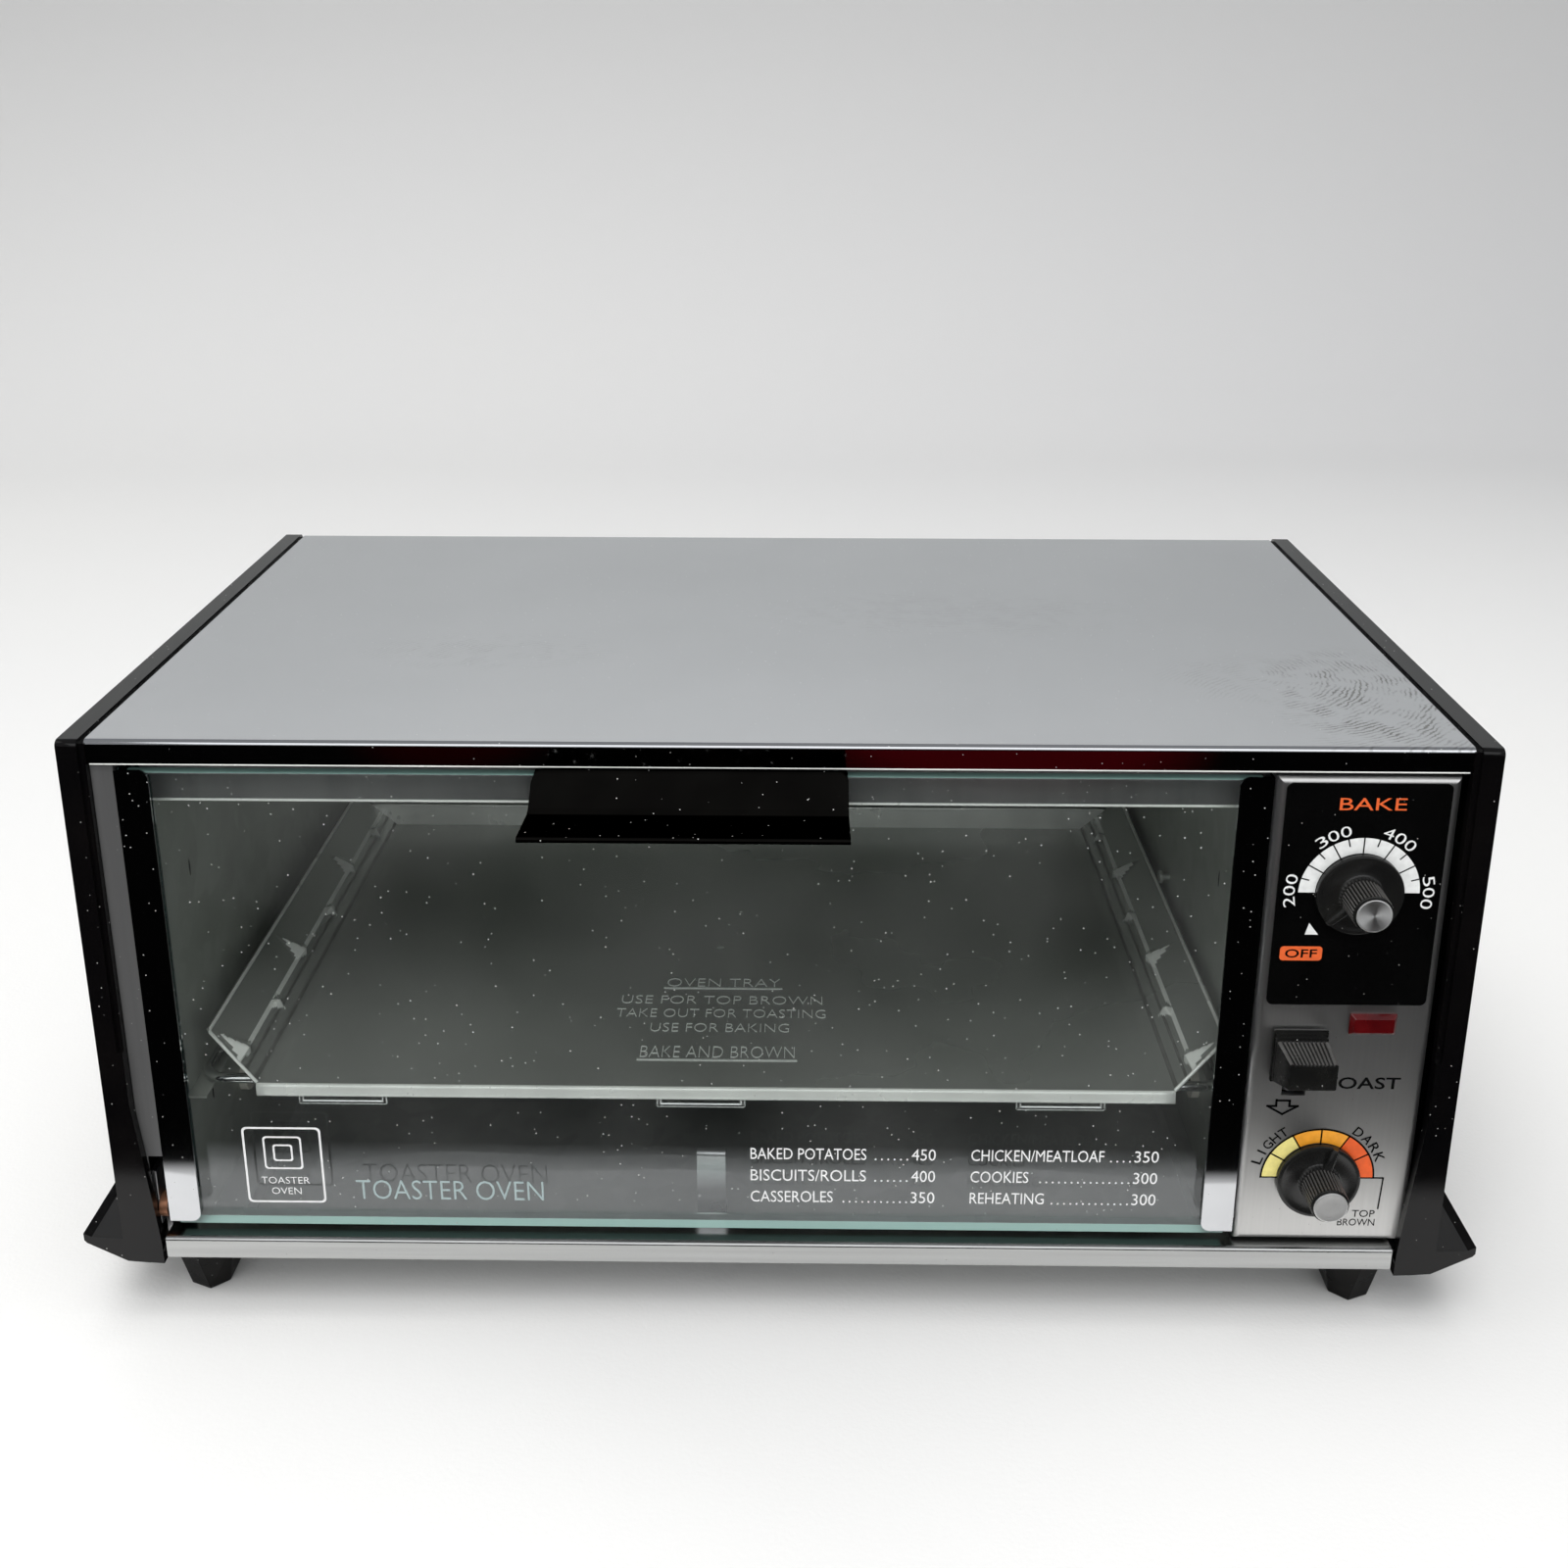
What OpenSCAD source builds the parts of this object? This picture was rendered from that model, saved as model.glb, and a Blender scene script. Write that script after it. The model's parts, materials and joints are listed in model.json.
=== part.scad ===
// Countertop toaster oven with a drop-down glass door, a rack that slides out
// with the door, two dials, a toast lever and a hinged crumb tray.
// Millimetres, +Z up, +X to the right of the front, +Y to the back.
// The origin is under the middle of the oven, on the surface it stands on.

/* [Body] */
// Width over the two end panels, without the carry ledges
body_w = 420; // [416:1:440]
// Depth from the front of the end panels to their back
body_d = 218; // [212:1:240]
// Height from the table to the top of the cover
body_h = 204; // [202:1:208]
// How far each carry ledge stands out of its end panel
ledge_reach = 12.6; // [8:0.2:16]
// Height of the feet below the base
foot_h = 22.5; // [22:0.1:23]
// Thickness of the formed sheet metal
sheet = 0.8; // [0.6:0.1:0.9]

/* [Door] */
// Thickness of the door glass
glass_t = 4; // [3:0.5:4]
// Width of the bright channel on each side of the glass
channel_w = 10; // [8:0.5:12]
// How far the handle stands out in front of the end panels
handle_reach = 29.8; // [24:0.2:36]
// Width of the handle
handle_w = 92; // [70:1:110]

/* [Controls] */
// Width of the control panel
panel_w = 54.2; // [52:0.2:54.6]
// Radius of the dial skirts
skirt_r = 13; // [11:0.5:14]
// Radius of the dial grips
grip_r = 6; // [5.8:0.1:7]
// Travel of the toast lever, downwards
lever_travel = 9; // [6:0.5:9]

/* [Rack and tray] */
// Height of the oven tray's floor above the table
tray_z = 80; // [79.8:0.1:82]
// Height of the tray's side walls
tray_wall = 15; // [8:1:18]
// Depth of the crumb tray's rim
crumb_depth = 7; // [4:0.5:8]

/* [Hidden] */
$fn = 48;
gap = 0.6;

// The middle of the whole object in depth, from the handle's lip to the back
mid_y = (body_d - handle_reach) / 2;

// End panels: plate, rim and the plane where the chassis starts
end_x = body_w / 2;
plate_x = end_x - 4;
rim_x = end_x - 6.2;
chassis_x = end_x - 7.8;
panel_top = body_h + 0.5;

// Front, top to bottom
band_bottom = body_h - 7.8;
cover_x = end_x - 7.6;
cover_front = 2;
cover_back = body_d - 0.2;
bend_r = 1.6;
rail_top = 31.9;
rail_bottom = 23.7;
rail_depth = 9.2;
base_z = foot_h + 0.7;
pan_front = 9.4;
rear_y = body_d - 1.8;

// Door, hinged on two pins just above the rail
door_left = -end_x + 15.2;
door_right = door_left + 340.1;
door_bottom = 36.8;
door_top = body_h - 9.7;
glass_front = 3.6;
glass_back = glass_front + glass_t;
glass_bottom = 34.6;
glass_top = body_h - 11;
channel_front = 2;
channel_back = glass_front + 5.4;
hinge_y = 6.5;
hinge_z = 40;
hinge_r = 1.8;
hinge_bore = hinge_r + 0.05;
left_pin_reach = 5.4;
right_pin_reach = 7;
bracket_t = 1.8;
handle_x = -25;
handle_top = body_h - 7.8;

// Oven cavity
cavity_left = -end_x + 20;
cavity_right = door_right + 1.7;
cavity_mid = (cavity_left + cavity_right) / 2;
cavity_front = 12;
cavity_rear = body_d - 12;
cavity_roof = body_h - 13.6;

// Rack and tray
wire_r = 1.2;
frame_wire_r = 1.6;
rack_z = tray_z - sheet - frame_wire_r - 0.05;
cross_drop = 1.4;
guide_z = rack_z - cross_drop - wire_r - 0.2;
rack_front = 20;
rack_rear = body_d - 20;
tray_front = 13;
tray_rear = body_d - 20;
tray_mid = cavity_mid + 1.5;
tray_floor_w = 294;
tray_top_w = 328;

// Heating elements
element_r = 3.4;
element_ys = [62, body_d - 66];
upper_element_z = body_h - 28;
lower_element_z = 50;
element_left = cavity_left - 6;
element_right = cavity_right + 6;

// Controls
panel_left = door_right + 1;
panel_right = panel_left + panel_w;
panel_mid = (panel_left + panel_right) / 2;
toast_x = panel_mid - 2.7;
panel_front = 3;
panel_bottom = 32.8;
panel_top_z = body_h - 9.5;
panel_back = panel_front + 7;
bake_z = 157.1;
toast_z = 56.6;
overlay_t = 0.4;
dial_back = panel_front - 0.8;
dial_front = -10.6;
dial_tip = -11.4;
shaft_r = 3;
shaft_bore = shaft_r + 0.05;
neck_r = 4.5;
lever_x = panel_left + 14.2;
lever_z = 101.5;
slot_w = 7.4;
slot_bottom = lever_z - lever_travel - 5.9;
slot_top = 108.4;
spring_seat_z = 74.2;
slide_foot_z = 91;
lens_x = panel_left + 36.1;
lens_z = 112.4;
thermostat_back = 38;
timer_back = 48;
terminal_x = 175;
terminal_y = body_d - 61;
terminal_top = 42;

// Cord inlet and crumb tray
inlet_x = 176;
inlet_z = 60;
inlet_r = 3.6;
crumb_left = cavity_left + 14;
crumb_right = cavity_right - 7.6;
crumb_front = 14.6;
crumb_rear = body_d - 24.2;
crumb_pin_y = body_d - 18.5;
crumb_pin_z = 25.6;
crumb_pin_r = 1.5;
knuckle_r = 2.3;
knuckle_w = 10;
knuckle_xs = [crumb_left + 70, crumb_right - 70];
lug_xs = [crumb_left + 56, (crumb_left + crumb_right) / 2, crumb_right - 56];
lug_w = 6;
latch_x = handle_x + 3.3;
latch_rivet_y = 26;

// ---- Helpers ----

// Moves a piece from the front-face datum to the part's own origin
module place() { translate([0, -mid_y, 0]) children(); }

// A box between two corners
module block(lo, hi) { translate(lo) cube(hi - lo); }

// Extrudes a Y-Z outline along X
module along_x(x0, x1) {
  translate([x0, 0, 0]) rotate([90, 0, 90]) linear_extrude(x1 - x0) children();
}

// Extrudes an X-Z outline along Y
module along_y(y0, y1) {
  translate([0, y1, 0]) rotate([90, 0, 0]) linear_extrude(y1 - y0) children();
}

// A rectangle between two corners, with all four corners rounded
module rounded(lo, hi, r) {
  translate([lo[0] + r, lo[1]]) square([hi[0] - lo[0] - 2 * r, hi[1] - lo[1]]);
  translate([lo[0], lo[1] + r]) square([hi[0] - lo[0], hi[1] - lo[1] - 2 * r]);
  for (x = [lo[0] + r, hi[0] - r], y = [lo[1] + r, hi[1] - r])
    translate([x, y]) circle(r);
}

// A round bar along X or Y, with its axis through a point
module bar_x(x0, x1, y, z, r) {
  translate([x0, y, z]) rotate([0, 90, 0]) cylinder(h = x1 - x0, r = r);
}
module bar_y(y0, y1, x, z, r) {
  translate([x, y1, z]) rotate([90, 0, 0]) cylinder(h = y1 - y0, r = r);
}

// A round wire through a list of points, with a ball at each bend
module wire(points, r) {
  for (i = [0 : len(points) - 2]) {
    run = points[i + 1] - points[i];
    len_run = norm(run);
    translate(points[i])
      rotate([0, acos(run[2] / len_run), atan2(run[1], run[0])])
        cylinder(h = len_run, r = r);
  }
  // the balls are a touch larger, so that each joint is a clean one
  for (i = [1 : 1 : len(points) - 2]) translate(points[i]) sphere(r * 1.04);
}

// A quarter bend of wire in the X-Y plane, turning from angle a to a + 90
module wire_bend(x, y, z, bend, r, a) {
  translate([x, y, z]) rotate([0, 0, a])
    rotate_extrude(angle = 90) translate([bend, 0]) circle(r);
}

// ---- Outer body ----

module cover_outline(inset) {
  front = cover_front + inset;
  back = cover_back - inset;
  top = body_h - inset;
  r = bend_r - inset;
  translate([front, 150]) square([back - front, top - r - 150]);
  translate([front + r, 150]) square([back - front - 2 * r, top - 150]);
  for (y = [front + r, back - r]) translate([y, top - r]) circle(r);
}

// Chromed cover: the top with its front band and a short lip at the back
module top_cover() color([0.72, 0.73, 0.75]) place() {
  along_x(-cover_x, cover_x) difference() {
    cover_outline(0);
    cover_outline(sheet);
    translate([-10, 100]) square([body_d / 2, band_bottom - 100]);
    translate([body_d / 2 - 20, 100]) square([body_d, band_bottom - 106]);
  }
  // folded hem that stiffens the band's lower edge
  block([-cover_x, cover_front + sheet, band_bottom],
        [cover_x, cover_front + 2 * sheet, band_bottom + 1.2]);
}

vent_slots = 12;
vent_w = 17;
vent_h = 3;
vent_pitch = 27;
module vent_row(z) {
  for (i = [0 : vent_slots - 1])
    translate([cavity_left + 20 + i * vent_pitch, rear_y - 2, z]) cube([vent_w, 6, vent_h]);
}

// Galvanised back panel with vent slots and the cord inlet
module rear_panel() color([0.55, 0.56, 0.56]) place() difference() {
  union() {
    block([-chassis_x, rear_y, base_z + sheet + 0.2],
          [chassis_x, rear_y + sheet, body_h - 3.4]);
    block([-chassis_x, rear_y - 8, base_z + sheet + 0.2],
          [chassis_x, rear_y, base_z + 2 * sheet + 0.2]);
  }
  vent_row(58);
  vent_row(70);
  vent_row(168);
  bar_y(rear_y - 10, rear_y + 5, inlet_x, inlet_z, 6.6);
  for (p = rear_screws) bar_y(rear_y - 10, rear_y + 5, p[0], p[1], 1.8);
}

// Cross-section of the right end panel: plate, rims and carry ledge
module end_section() {
  polygon([
    [chassis_x, panel_top], [end_x, panel_top], [end_x, 31.3],
    [end_x + ledge_reach * 0.8, 31.9], [end_x + ledge_reach, 33.2],
    [end_x + ledge_reach, 30.6], [end_x + ledge_reach - 0.8, 29.6],
    [end_x - 0.8, 22.8], [chassis_x - 0.2, 22.2], [chassis_x - 0.2, 36],
    [chassis_x, 36]
  ]);
}

// The front lip widens towards the bottom, to meet the rail
module end_front_lip() {
  polygon([
    [end_x - 3, 100], [rim_x, 100], [rim_x - 0.6, 92], [end_x - 11.6, 40],
    [end_x - 12.4, 30], [end_x - 12.5, 22], [end_x - 3, 22.6]
  ]);
}

// Black moulded end panel with its full-depth carry ledge
module end_panel() {
  difference() {
    union() {
      intersection() {
        along_y(0, body_d) end_section();
        along_x(end_x - 30, end_x + 30) union() {
          rounded([0, 60], [body_d, panel_top], 2);
          square([body_d, 120]);
        }
      }
      along_y(0, 3) end_front_lip();
    }
    // hollow on the inner side
    block([chassis_x - 1, 4, 38], [plate_x, body_d - 4, panel_top - 4]);
    // rabbet that the cover and the jamb sit in
    block([chassis_x - 1, -1, 100], [rim_x, 1.4, panel_top + 1]);
    block([chassis_x - 1, -1, panel_top - 1.4], [rim_x, body_d + 1, panel_top + 1]);
    for (y = end_screw_ys) bar_x(chassis_x - 1, plate_x + 3, y, end_screw_z, 1.5);
  }
}
module left_end_panel() color([0.05, 0.05, 0.05]) place() mirror([1, 0, 0]) end_panel();
module right_end_panel() color([0.05, 0.05, 0.05]) place() end_panel();

// Foot: a prow-shaped wedge that leans inwards and back
module foot() {
  foot_top = base_z - 0.05;
  hull() {
    translate([0, 0, foot_top - 1]) linear_extrude(1)
      polygon([[end_x - 12.8, 8], [end_x - 20.5, 4.4], [end_x - 32, 7.5],
               [end_x - 32, 32], [end_x - 12.8, 32]]);
    linear_extrude(0.6)
      polygon([[end_x - 13.2, 16.4], [end_x - 20.4, 13.6], [end_x - 25.6, 17.8],
               [end_x - 25.6, 28], [end_x - 13.2, 28]]);
  }
}
module rear_foot() translate([0, body_d, 0]) mirror([0, 1, 0]) foot();
module front_left_foot() color([0.06, 0.06, 0.06]) place() mirror([1, 0, 0]) foot();
module front_right_foot() color([0.06, 0.06, 0.06]) place() foot();
module rear_left_foot() color([0.06, 0.06, 0.06]) place() mirror([1, 0, 0]) rear_foot();
module rear_right_foot() color([0.06, 0.06, 0.06]) place() rear_foot();

// Steel base with an opening for the crumb tray and lugs for its hinge pin
end_screw_ys = [44, body_d - 44];
end_screw_z = 44;
module base_pan() color([0.5, 0.51, 0.51]) place() difference() {
  union() {
    block([-chassis_x + 0.2, pan_front, base_z],
          [chassis_x - 0.2, rear_y - 0.2, base_z + sheet]);
    block([-chassis_x + 16, pan_front, base_z],
          [chassis_x - 16, pan_front + sheet, rail_top - 1]);
    for (s = [-1, 1], y = end_screw_ys)
      block([s * (chassis_x - 0.6) - 0.4, y - 9, base_z],
            [s * (chassis_x - 0.6) + 0.4, y + 9, 52]);
    for (x = lug_xs)
      block([x - lug_w / 2, crumb_pin_y - 2.6, base_z],
            [x + lug_w / 2, crumb_pin_y + 2.6, crumb_pin_z + 2.8]);
  }
  block([crumb_left - gap, crumb_front - gap, base_z - 1],
        [crumb_right + gap, crumb_rear + 2 * gap, base_z + 2]);
  for (x = knuckle_xs)
    block([x - knuckle_w / 2 - gap, crumb_rear, base_z - 1],
          [x + knuckle_w / 2 + gap, crumb_pin_y + 4, base_z + 2]);
  bar_x(lug_xs[0] - lug_w, lug_xs[2] + lug_w, crumb_pin_y, crumb_pin_z, crumb_pin_r + 0.02);
  for (s = [-1, 1], y = end_screw_ys)
    bar_x(s * chassis_x - 3, s * chassis_x + 3, y, end_screw_z, 1.8);
}

// ---- Front frame ----

// Bright rail across the bottom of the front
module bottom_rail() color([0.78, 0.79, 0.8]) place() {
  rail_end = end_x - 13.8;
  along_x(-rail_end, rail_end) difference() {
    union() {
      rounded([0, rail_bottom], [6, rail_top], 1.4);
      translate([3, rail_bottom]) square([rail_depth - 3, rail_top - rail_bottom]);
    }
    union() {
      rounded([sheet, rail_bottom + sheet], [6, rail_top - sheet], 1.4 - sheet);
      translate([3, rail_bottom + sheet])
        square([rail_depth, rail_top - rail_bottom - 2 * sheet]);
    }
    translate([6.4, rail_bottom - 1]) square([rail_depth, 3]);
  }
}

// Grey steel jamb between the left end panel and the door
module left_jamb() color([0.42, 0.43, 0.42]) place() {
  inner = door_left - 0.5;
  front = 3.4;
  difference() {
    block([-chassis_x, front, rail_top + 1], [inner, front + sheet, band_bottom - 0.6]);
    block([-chassis_x + 2, front - 1, rail_top], [inner + 1, front + 2, 60]);
  }
  block([inner - sheet, front, 60], [inner, 11, band_bottom - 0.6]);
  block([inner - sheet, 11 - sheet, 60], [cavity_left - sheet, 11, cavity_roof - 1]);
}

// Steel strip behind the top of the glass
module header_rail() color([0.5, 0.51, 0.5]) place() {
  y = 11.2;
  right = panel_left - 0.2;
  block([cavity_left - 1, y, body_h - 23.4], [right, y + sheet, body_h - 8.6]);
  block([cavity_left - 1, y, body_h - 9.4], [right, y + 12, body_h - 8.6]);
  block([cavity_left + 1, y, body_h - 23.4], [right - 2, y + 3, body_h - 22.6]);
}

// ---- Oven cavity ----

module element_holes(x) {
  for (y = element_ys, z = [upper_element_z, lower_element_z])
    bar_x(x - 3, x + 3, y, z, 5.6);
}

module cavity_left_wall() color([0.45, 0.47, 0.44]) place() difference() {
  block([cavity_left - sheet, cavity_front, base_z + sheet],
        [cavity_left, cavity_rear, cavity_roof]);
  element_holes(cavity_left);
}

module cavity_right_wall() color([0.45, 0.47, 0.44]) place() {
  difference() {
    block([cavity_right, cavity_front, base_z + sheet],
          [cavity_right + sheet, cavity_rear, cavity_roof]);
    element_holes(cavity_right);
  }
  // headed pin that keeps the tray from tipping as it comes forward
  bar_x(cavity_right - 4, cavity_right + 0.4, tip_pin_y, tip_pin_z, 1.4);
  bar_x(cavity_right - 4, cavity_right - 2.8, tip_pin_y, tip_pin_z, 2.4);
}

module cavity_top() color([0.45, 0.47, 0.44]) place()
  block([cavity_left - sheet, cavity_front, cavity_roof],
        [cavity_right + sheet, cavity_rear, cavity_roof + sheet]);

module cavity_back() color([0.4, 0.42, 0.4]) place() {
  block([cavity_left - sheet, cavity_rear, base_z + sheet],
        [cavity_right + sheet, cavity_rear + sheet, cavity_roof + sheet]);
  // raised stop that keeps the tray off the back
  block([cavity_mid - 110, cavity_rear - 3, tray_z + 4],
        [cavity_mid + 110, cavity_rear, tray_z + 10]);
}

// Ledge that carries one side of the rack
module rack_guide() {
  block([0, cavity_front + 2, guide_z - 9], [sheet, cavity_rear - 1, guide_z]);
  block([0, cavity_front + 2, guide_z - sheet], [6.4, cavity_rear - 1, guide_z]);
}
module left_rack_guide() color([0.5, 0.52, 0.5]) place()
  translate([cavity_left, 0, 0]) rack_guide();
module right_rack_guide() color([0.5, 0.52, 0.5]) place()
  translate([cavity_right, 0, 0]) mirror([1, 0, 0]) rack_guide();

// Sheathed heating rod with a flat terminal at each end
module element(y, z) {
  bar_x(element_left, element_right, y, z, element_r);
  for (x = [element_left - 5, element_right - 1])
    block([x, y - 2.4, z - 0.5], [x + 6, y + 2.4, z + 0.5]);
}
module upper_front_element() color([0.25, 0.23, 0.22]) place()
  element(element_ys[0], upper_element_z);
module upper_rear_element() color([0.25, 0.23, 0.22]) place()
  element(element_ys[1], upper_element_z);
module lower_front_element() color([0.25, 0.23, 0.22]) place()
  element(element_ys[0], lower_element_z);
module lower_rear_element() color([0.25, 0.23, 0.22]) place()
  element(element_ys[1], lower_element_z);

// Ceramic bush where a rod goes through a cavity wall, out towards side s
module insulator(x, s, y, z) {
  difference() {
    union() {
      bar_x(x - 2.6, x + 2.6, y, z, 5.5);
      bar_x(x + (s > 0 ? 0.9 : -4.1), x + (s > 0 ? 4.1 : -0.9), y, z, 7.6);
    }
    bar_x(x - 6, x + 6, y, z, element_r + 0.1);
  }
}
module element_insulators() color([0.86, 0.84, 0.78]) place()
  for (y = element_ys, z = [upper_element_z, lower_element_z]) {
    insulator(cavity_left, -1, y, z);
    insulator(cavity_right, 1, y, z);
  }

// ---- Door ----

// Bracket that stands on the base and holds one hinge pin
module hinge_bracket(x) {
  front = panel_front + sheet + 0.1;
  along_x(x, x + bracket_t) difference() {
    polygon([[front, 34], [11, 34], [11, base_z + sheet], [24, base_z + sheet],
             [24, 34], [12, 54], [front, 54]]);
    translate([hinge_y, hinge_z]) circle(hinge_bore);
  }
}
module left_hinge_bracket() color([0.35, 0.35, 0.35]) place()
  hinge_bracket(door_left - left_pin_reach);
module right_hinge_bracket() color([0.35, 0.35, 0.35]) place()
  hinge_bracket(door_right + right_pin_reach - bracket_t);

// Copper-coloured bush beside the bracket
module hinge_bush(x, r) {
  difference() {
    bar_x(x, x + 2.6, hinge_y, hinge_z, r);
    bar_x(x - 1, x + 4, hinge_y, hinge_z, hinge_bore);
  }
}
module left_hinge_bush() color([0.5, 0.3, 0.2]) place()
  hinge_bush(door_left - left_pin_reach + bracket_t + 0.1, 4);
module right_hinge_bush() color([0.5, 0.3, 0.2]) place()
  hinge_bush(door_right + 2.6, 2.4);

// Tempered glass pane, drilled for the handle screws
screw_xs = [handle_x - 26, handle_x + 26];
handle_screw_z = body_h - 20;
module door_glass() color([0.75, 0.88, 0.84, 0.35]) place() difference() {
  block([door_left + 2.2, glass_front, glass_bottom],
        [door_right - 2.2, glass_back, glass_top]);
  for (x = screw_xs) bar_y(glass_front - 1, glass_back + 1, x, handle_screw_z, 2.6);
}

// Bright channel that wraps one side edge of the glass
module door_channel() {
  along_y(channel_front, channel_front + sheet)
    union() {
      rounded([0, door_bottom], [channel_w, door_top], 3);
      translate([0, door_bottom]) square([5, door_top - door_bottom]);
    }
  difference() {
    block([0, channel_front, door_bottom], [sheet, channel_back, door_top]);
    bar_x(-1, 2, hinge_y, hinge_z, hinge_r + 0.1);
  }
  block([0, channel_back - sheet, door_bottom + 8],
        [channel_w - 2, channel_back, door_top - 4]);
}
module left_door_channel() color([0.75, 0.76, 0.78]) place()
  translate([door_left, 0, 0]) door_channel();
module right_door_channel() color([0.75, 0.76, 0.78]) place()
  translate([door_right, 0, 0]) mirror([1, 0, 0]) door_channel();

// Hinge pin with the plate that fixes it inside the channel
module hinge_pin(reach) {
  bar_x(-reach, sheet + 0.5, hinge_y, hinge_z, hinge_r);
  block([sheet, glass_front, door_bottom + 0.6],
        [sheet + 1, glass_back, door_bottom + 24]);
}
module left_hinge_pin() color([0.6, 0.6, 0.6]) place()
  translate([door_left, 0, 0]) hinge_pin(left_pin_reach);
module right_hinge_pin() color([0.6, 0.6, 0.6]) place()
  translate([door_right, 0, 0]) mirror([1, 0, 0]) hinge_pin(right_pin_reach);

// Black moulded handle: a sloping face that turns out into a thin ledge
module door_handle() color([0.04, 0.04, 0.04]) place() difference() {
  left = handle_x - handle_w / 2;
  right = handle_x + handle_w / 2;
  intersection() {
    along_x(left, right) polygon([
      [glass_front - 0.1, handle_top - 22], [glass_front - 0.1, handle_top - 1],
      [1.4, handle_top - 0.1], [0.2, handle_top], [-1, handle_top - 0.5],
      [-9.6, handle_top - 7.4], [-11.8, handle_top - 8.2],
      [-handle_reach + 0.5, handle_top - 6.6], [-handle_reach, handle_top - 7.1],
      [-handle_reach, handle_top - 7.8], [-handle_reach + 0.6, handle_top - 8.3],
      [-13, handle_top - 10.4], [-6.5, handle_top - 14.6], [0.6, handle_top - 22]
    ]);
    along_y(-handle_reach - 1, glass_front + 1)
      rounded([left, handle_top - 30], [right, handle_top], 2.4);
  }
  for (x = screw_xs) bar_y(-0.6, glass_front + 1, x, handle_screw_z, 1.8);
}

// Thin black clip that hooks over the glass behind the handle
module handle_clip() color([0.08, 0.08, 0.08]) place() difference() {
  union() {
    block([handle_x - 39, glass_front - 0.1, glass_top + 0.2],
          [handle_x + 39, glass_back + 1, glass_top + 1.2]);
    block([handle_x - 39, glass_back + 0.2, handle_screw_z - 7],
          [handle_x + 39, glass_back + 1, glass_top + 0.4]);
  }
  for (x = screw_xs) bar_y(glass_back, glass_back + 2, x, handle_screw_z, 2);
}

module handle_screws() color([0.6, 0.6, 0.62]) place()
  for (x = screw_xs) {
    bar_y(0, glass_back + 1.1, x, handle_screw_z, 1.75);
    bar_y(glass_back + 1, glass_back + 2.2, x, handle_screw_z, 3.8);
  }

// ---- Rack and tray ----

tip_pin_y = 120;
tip_pin_z = tray_z + tray_wall + 4;
loop_xs = [cavity_mid - 118.5, cavity_mid - 3, cavity_mid + 112.5];
loop_half = 13.5;
loop_y = 15.6;
loop_drop = 5.4;
cross_wires = 7;

// Bent hairpin of wire: two runs front to back, joined by a dropped front loop
module hairpin(x) {
  z = rack_z + 0.3;
  wire([[x - loop_half, rack_rear, z], [x - loop_half, loop_y, z],
        [x - loop_half, loop_y, z - loop_drop], [x + loop_half, loop_y, z - loop_drop],
        [x + loop_half, loop_y, z], [x + loop_half, rack_rear, z]], wire_r);
}

// Welded wire rack: rounded frame, cross wires and hairpins
module wire_rack() color([0.7, 0.71, 0.7]) place() {
  left = cavity_left + 3.4;
  right = cavity_right - 3.4;
  bend = 7;
  for (x = [left, right])
    bar_y(rack_front + bend, rack_rear - bend, x, rack_z, frame_wire_r);
  for (y = [rack_front, rack_rear])
    bar_x(left + bend, right - bend, y, rack_z, frame_wire_r);
  wire_bend(right - bend, rack_rear - bend, rack_z, bend, frame_wire_r, 0);
  wire_bend(left + bend, rack_rear - bend, rack_z, bend, frame_wire_r, 90);
  wire_bend(left + bend, rack_front + bend, rack_z, bend, frame_wire_r, 180);
  wire_bend(right - bend, rack_front + bend, rack_z, bend, frame_wire_r, 270);
  for (i = [1 : cross_wires])
    bar_x(left, right, rack_front + i * (rack_rear - rack_front) / (cross_wires + 1),
          rack_z - cross_drop, wire_r);
  for (x = loop_xs) hairpin(x);
}

// Side profile of the tray in X-Z, from the floor up the flared walls
module tray_section(inset) {
  half = tray_floor_w / 2 - inset * 0.6;
  top_half = tray_top_w / 2 - inset * 1.15;
  polygon([[tray_mid - half, tray_z - sheet + inset],
           [tray_mid + half, tray_z - sheet + inset],
           [tray_mid + top_half, tray_z + tray_wall + (inset > 0 ? 1 : 0)],
           [tray_mid - top_half, tray_z + tray_wall + (inset > 0 ? 1 : 0)]]);
}

// Shallow oven tray: flared sides, a low rear wall and a front lip turned down
module oven_tray() color([0.66, 0.67, 0.65]) place() {
  difference() {
    along_y(tray_front, tray_rear) tray_section(0);
    along_y(tray_front - 1, tray_rear - sheet) tray_section(sheet);
    // front ends of the side walls are cut off at a slant
    along_x(-end_x, end_x)
      polygon([[tray_front - 1, tray_z + 1], [tray_front + 1, tray_z + 1],
               [tray_front + 8, tray_z + tray_wall + 2],
               [tray_front - 1, tray_z + tray_wall + 2]]);
    // the rear wall is lower than the sides
    block([-end_x, tray_rear - 2, tray_z + tray_wall * 0.6],
          [end_x, tray_rear + 1, tray_z + tray_wall + 2]);
  }
  block([tray_mid - tray_floor_w / 2, tray_front, tray_z - 4.4],
        [tray_mid + tray_floor_w / 2, tray_front + sheet, tray_z - sheet / 2]);
}

// ---- Controls ----

module panel_shell(inset) {
  intersection() {
    translate([0, 0, panel_bottom + inset]) linear_extrude(panel_top_z - panel_bottom - 2 * inset)
      rounded([panel_left + inset, panel_front + inset],
              [panel_right - inset, panel_back + 12], 2.2 - inset);
    along_x(panel_left, panel_right)
      rounded([panel_front + inset, panel_bottom + inset],
              [panel_back + 12, panel_top_z - inset], 2.2 - inset);
  }
}

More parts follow.
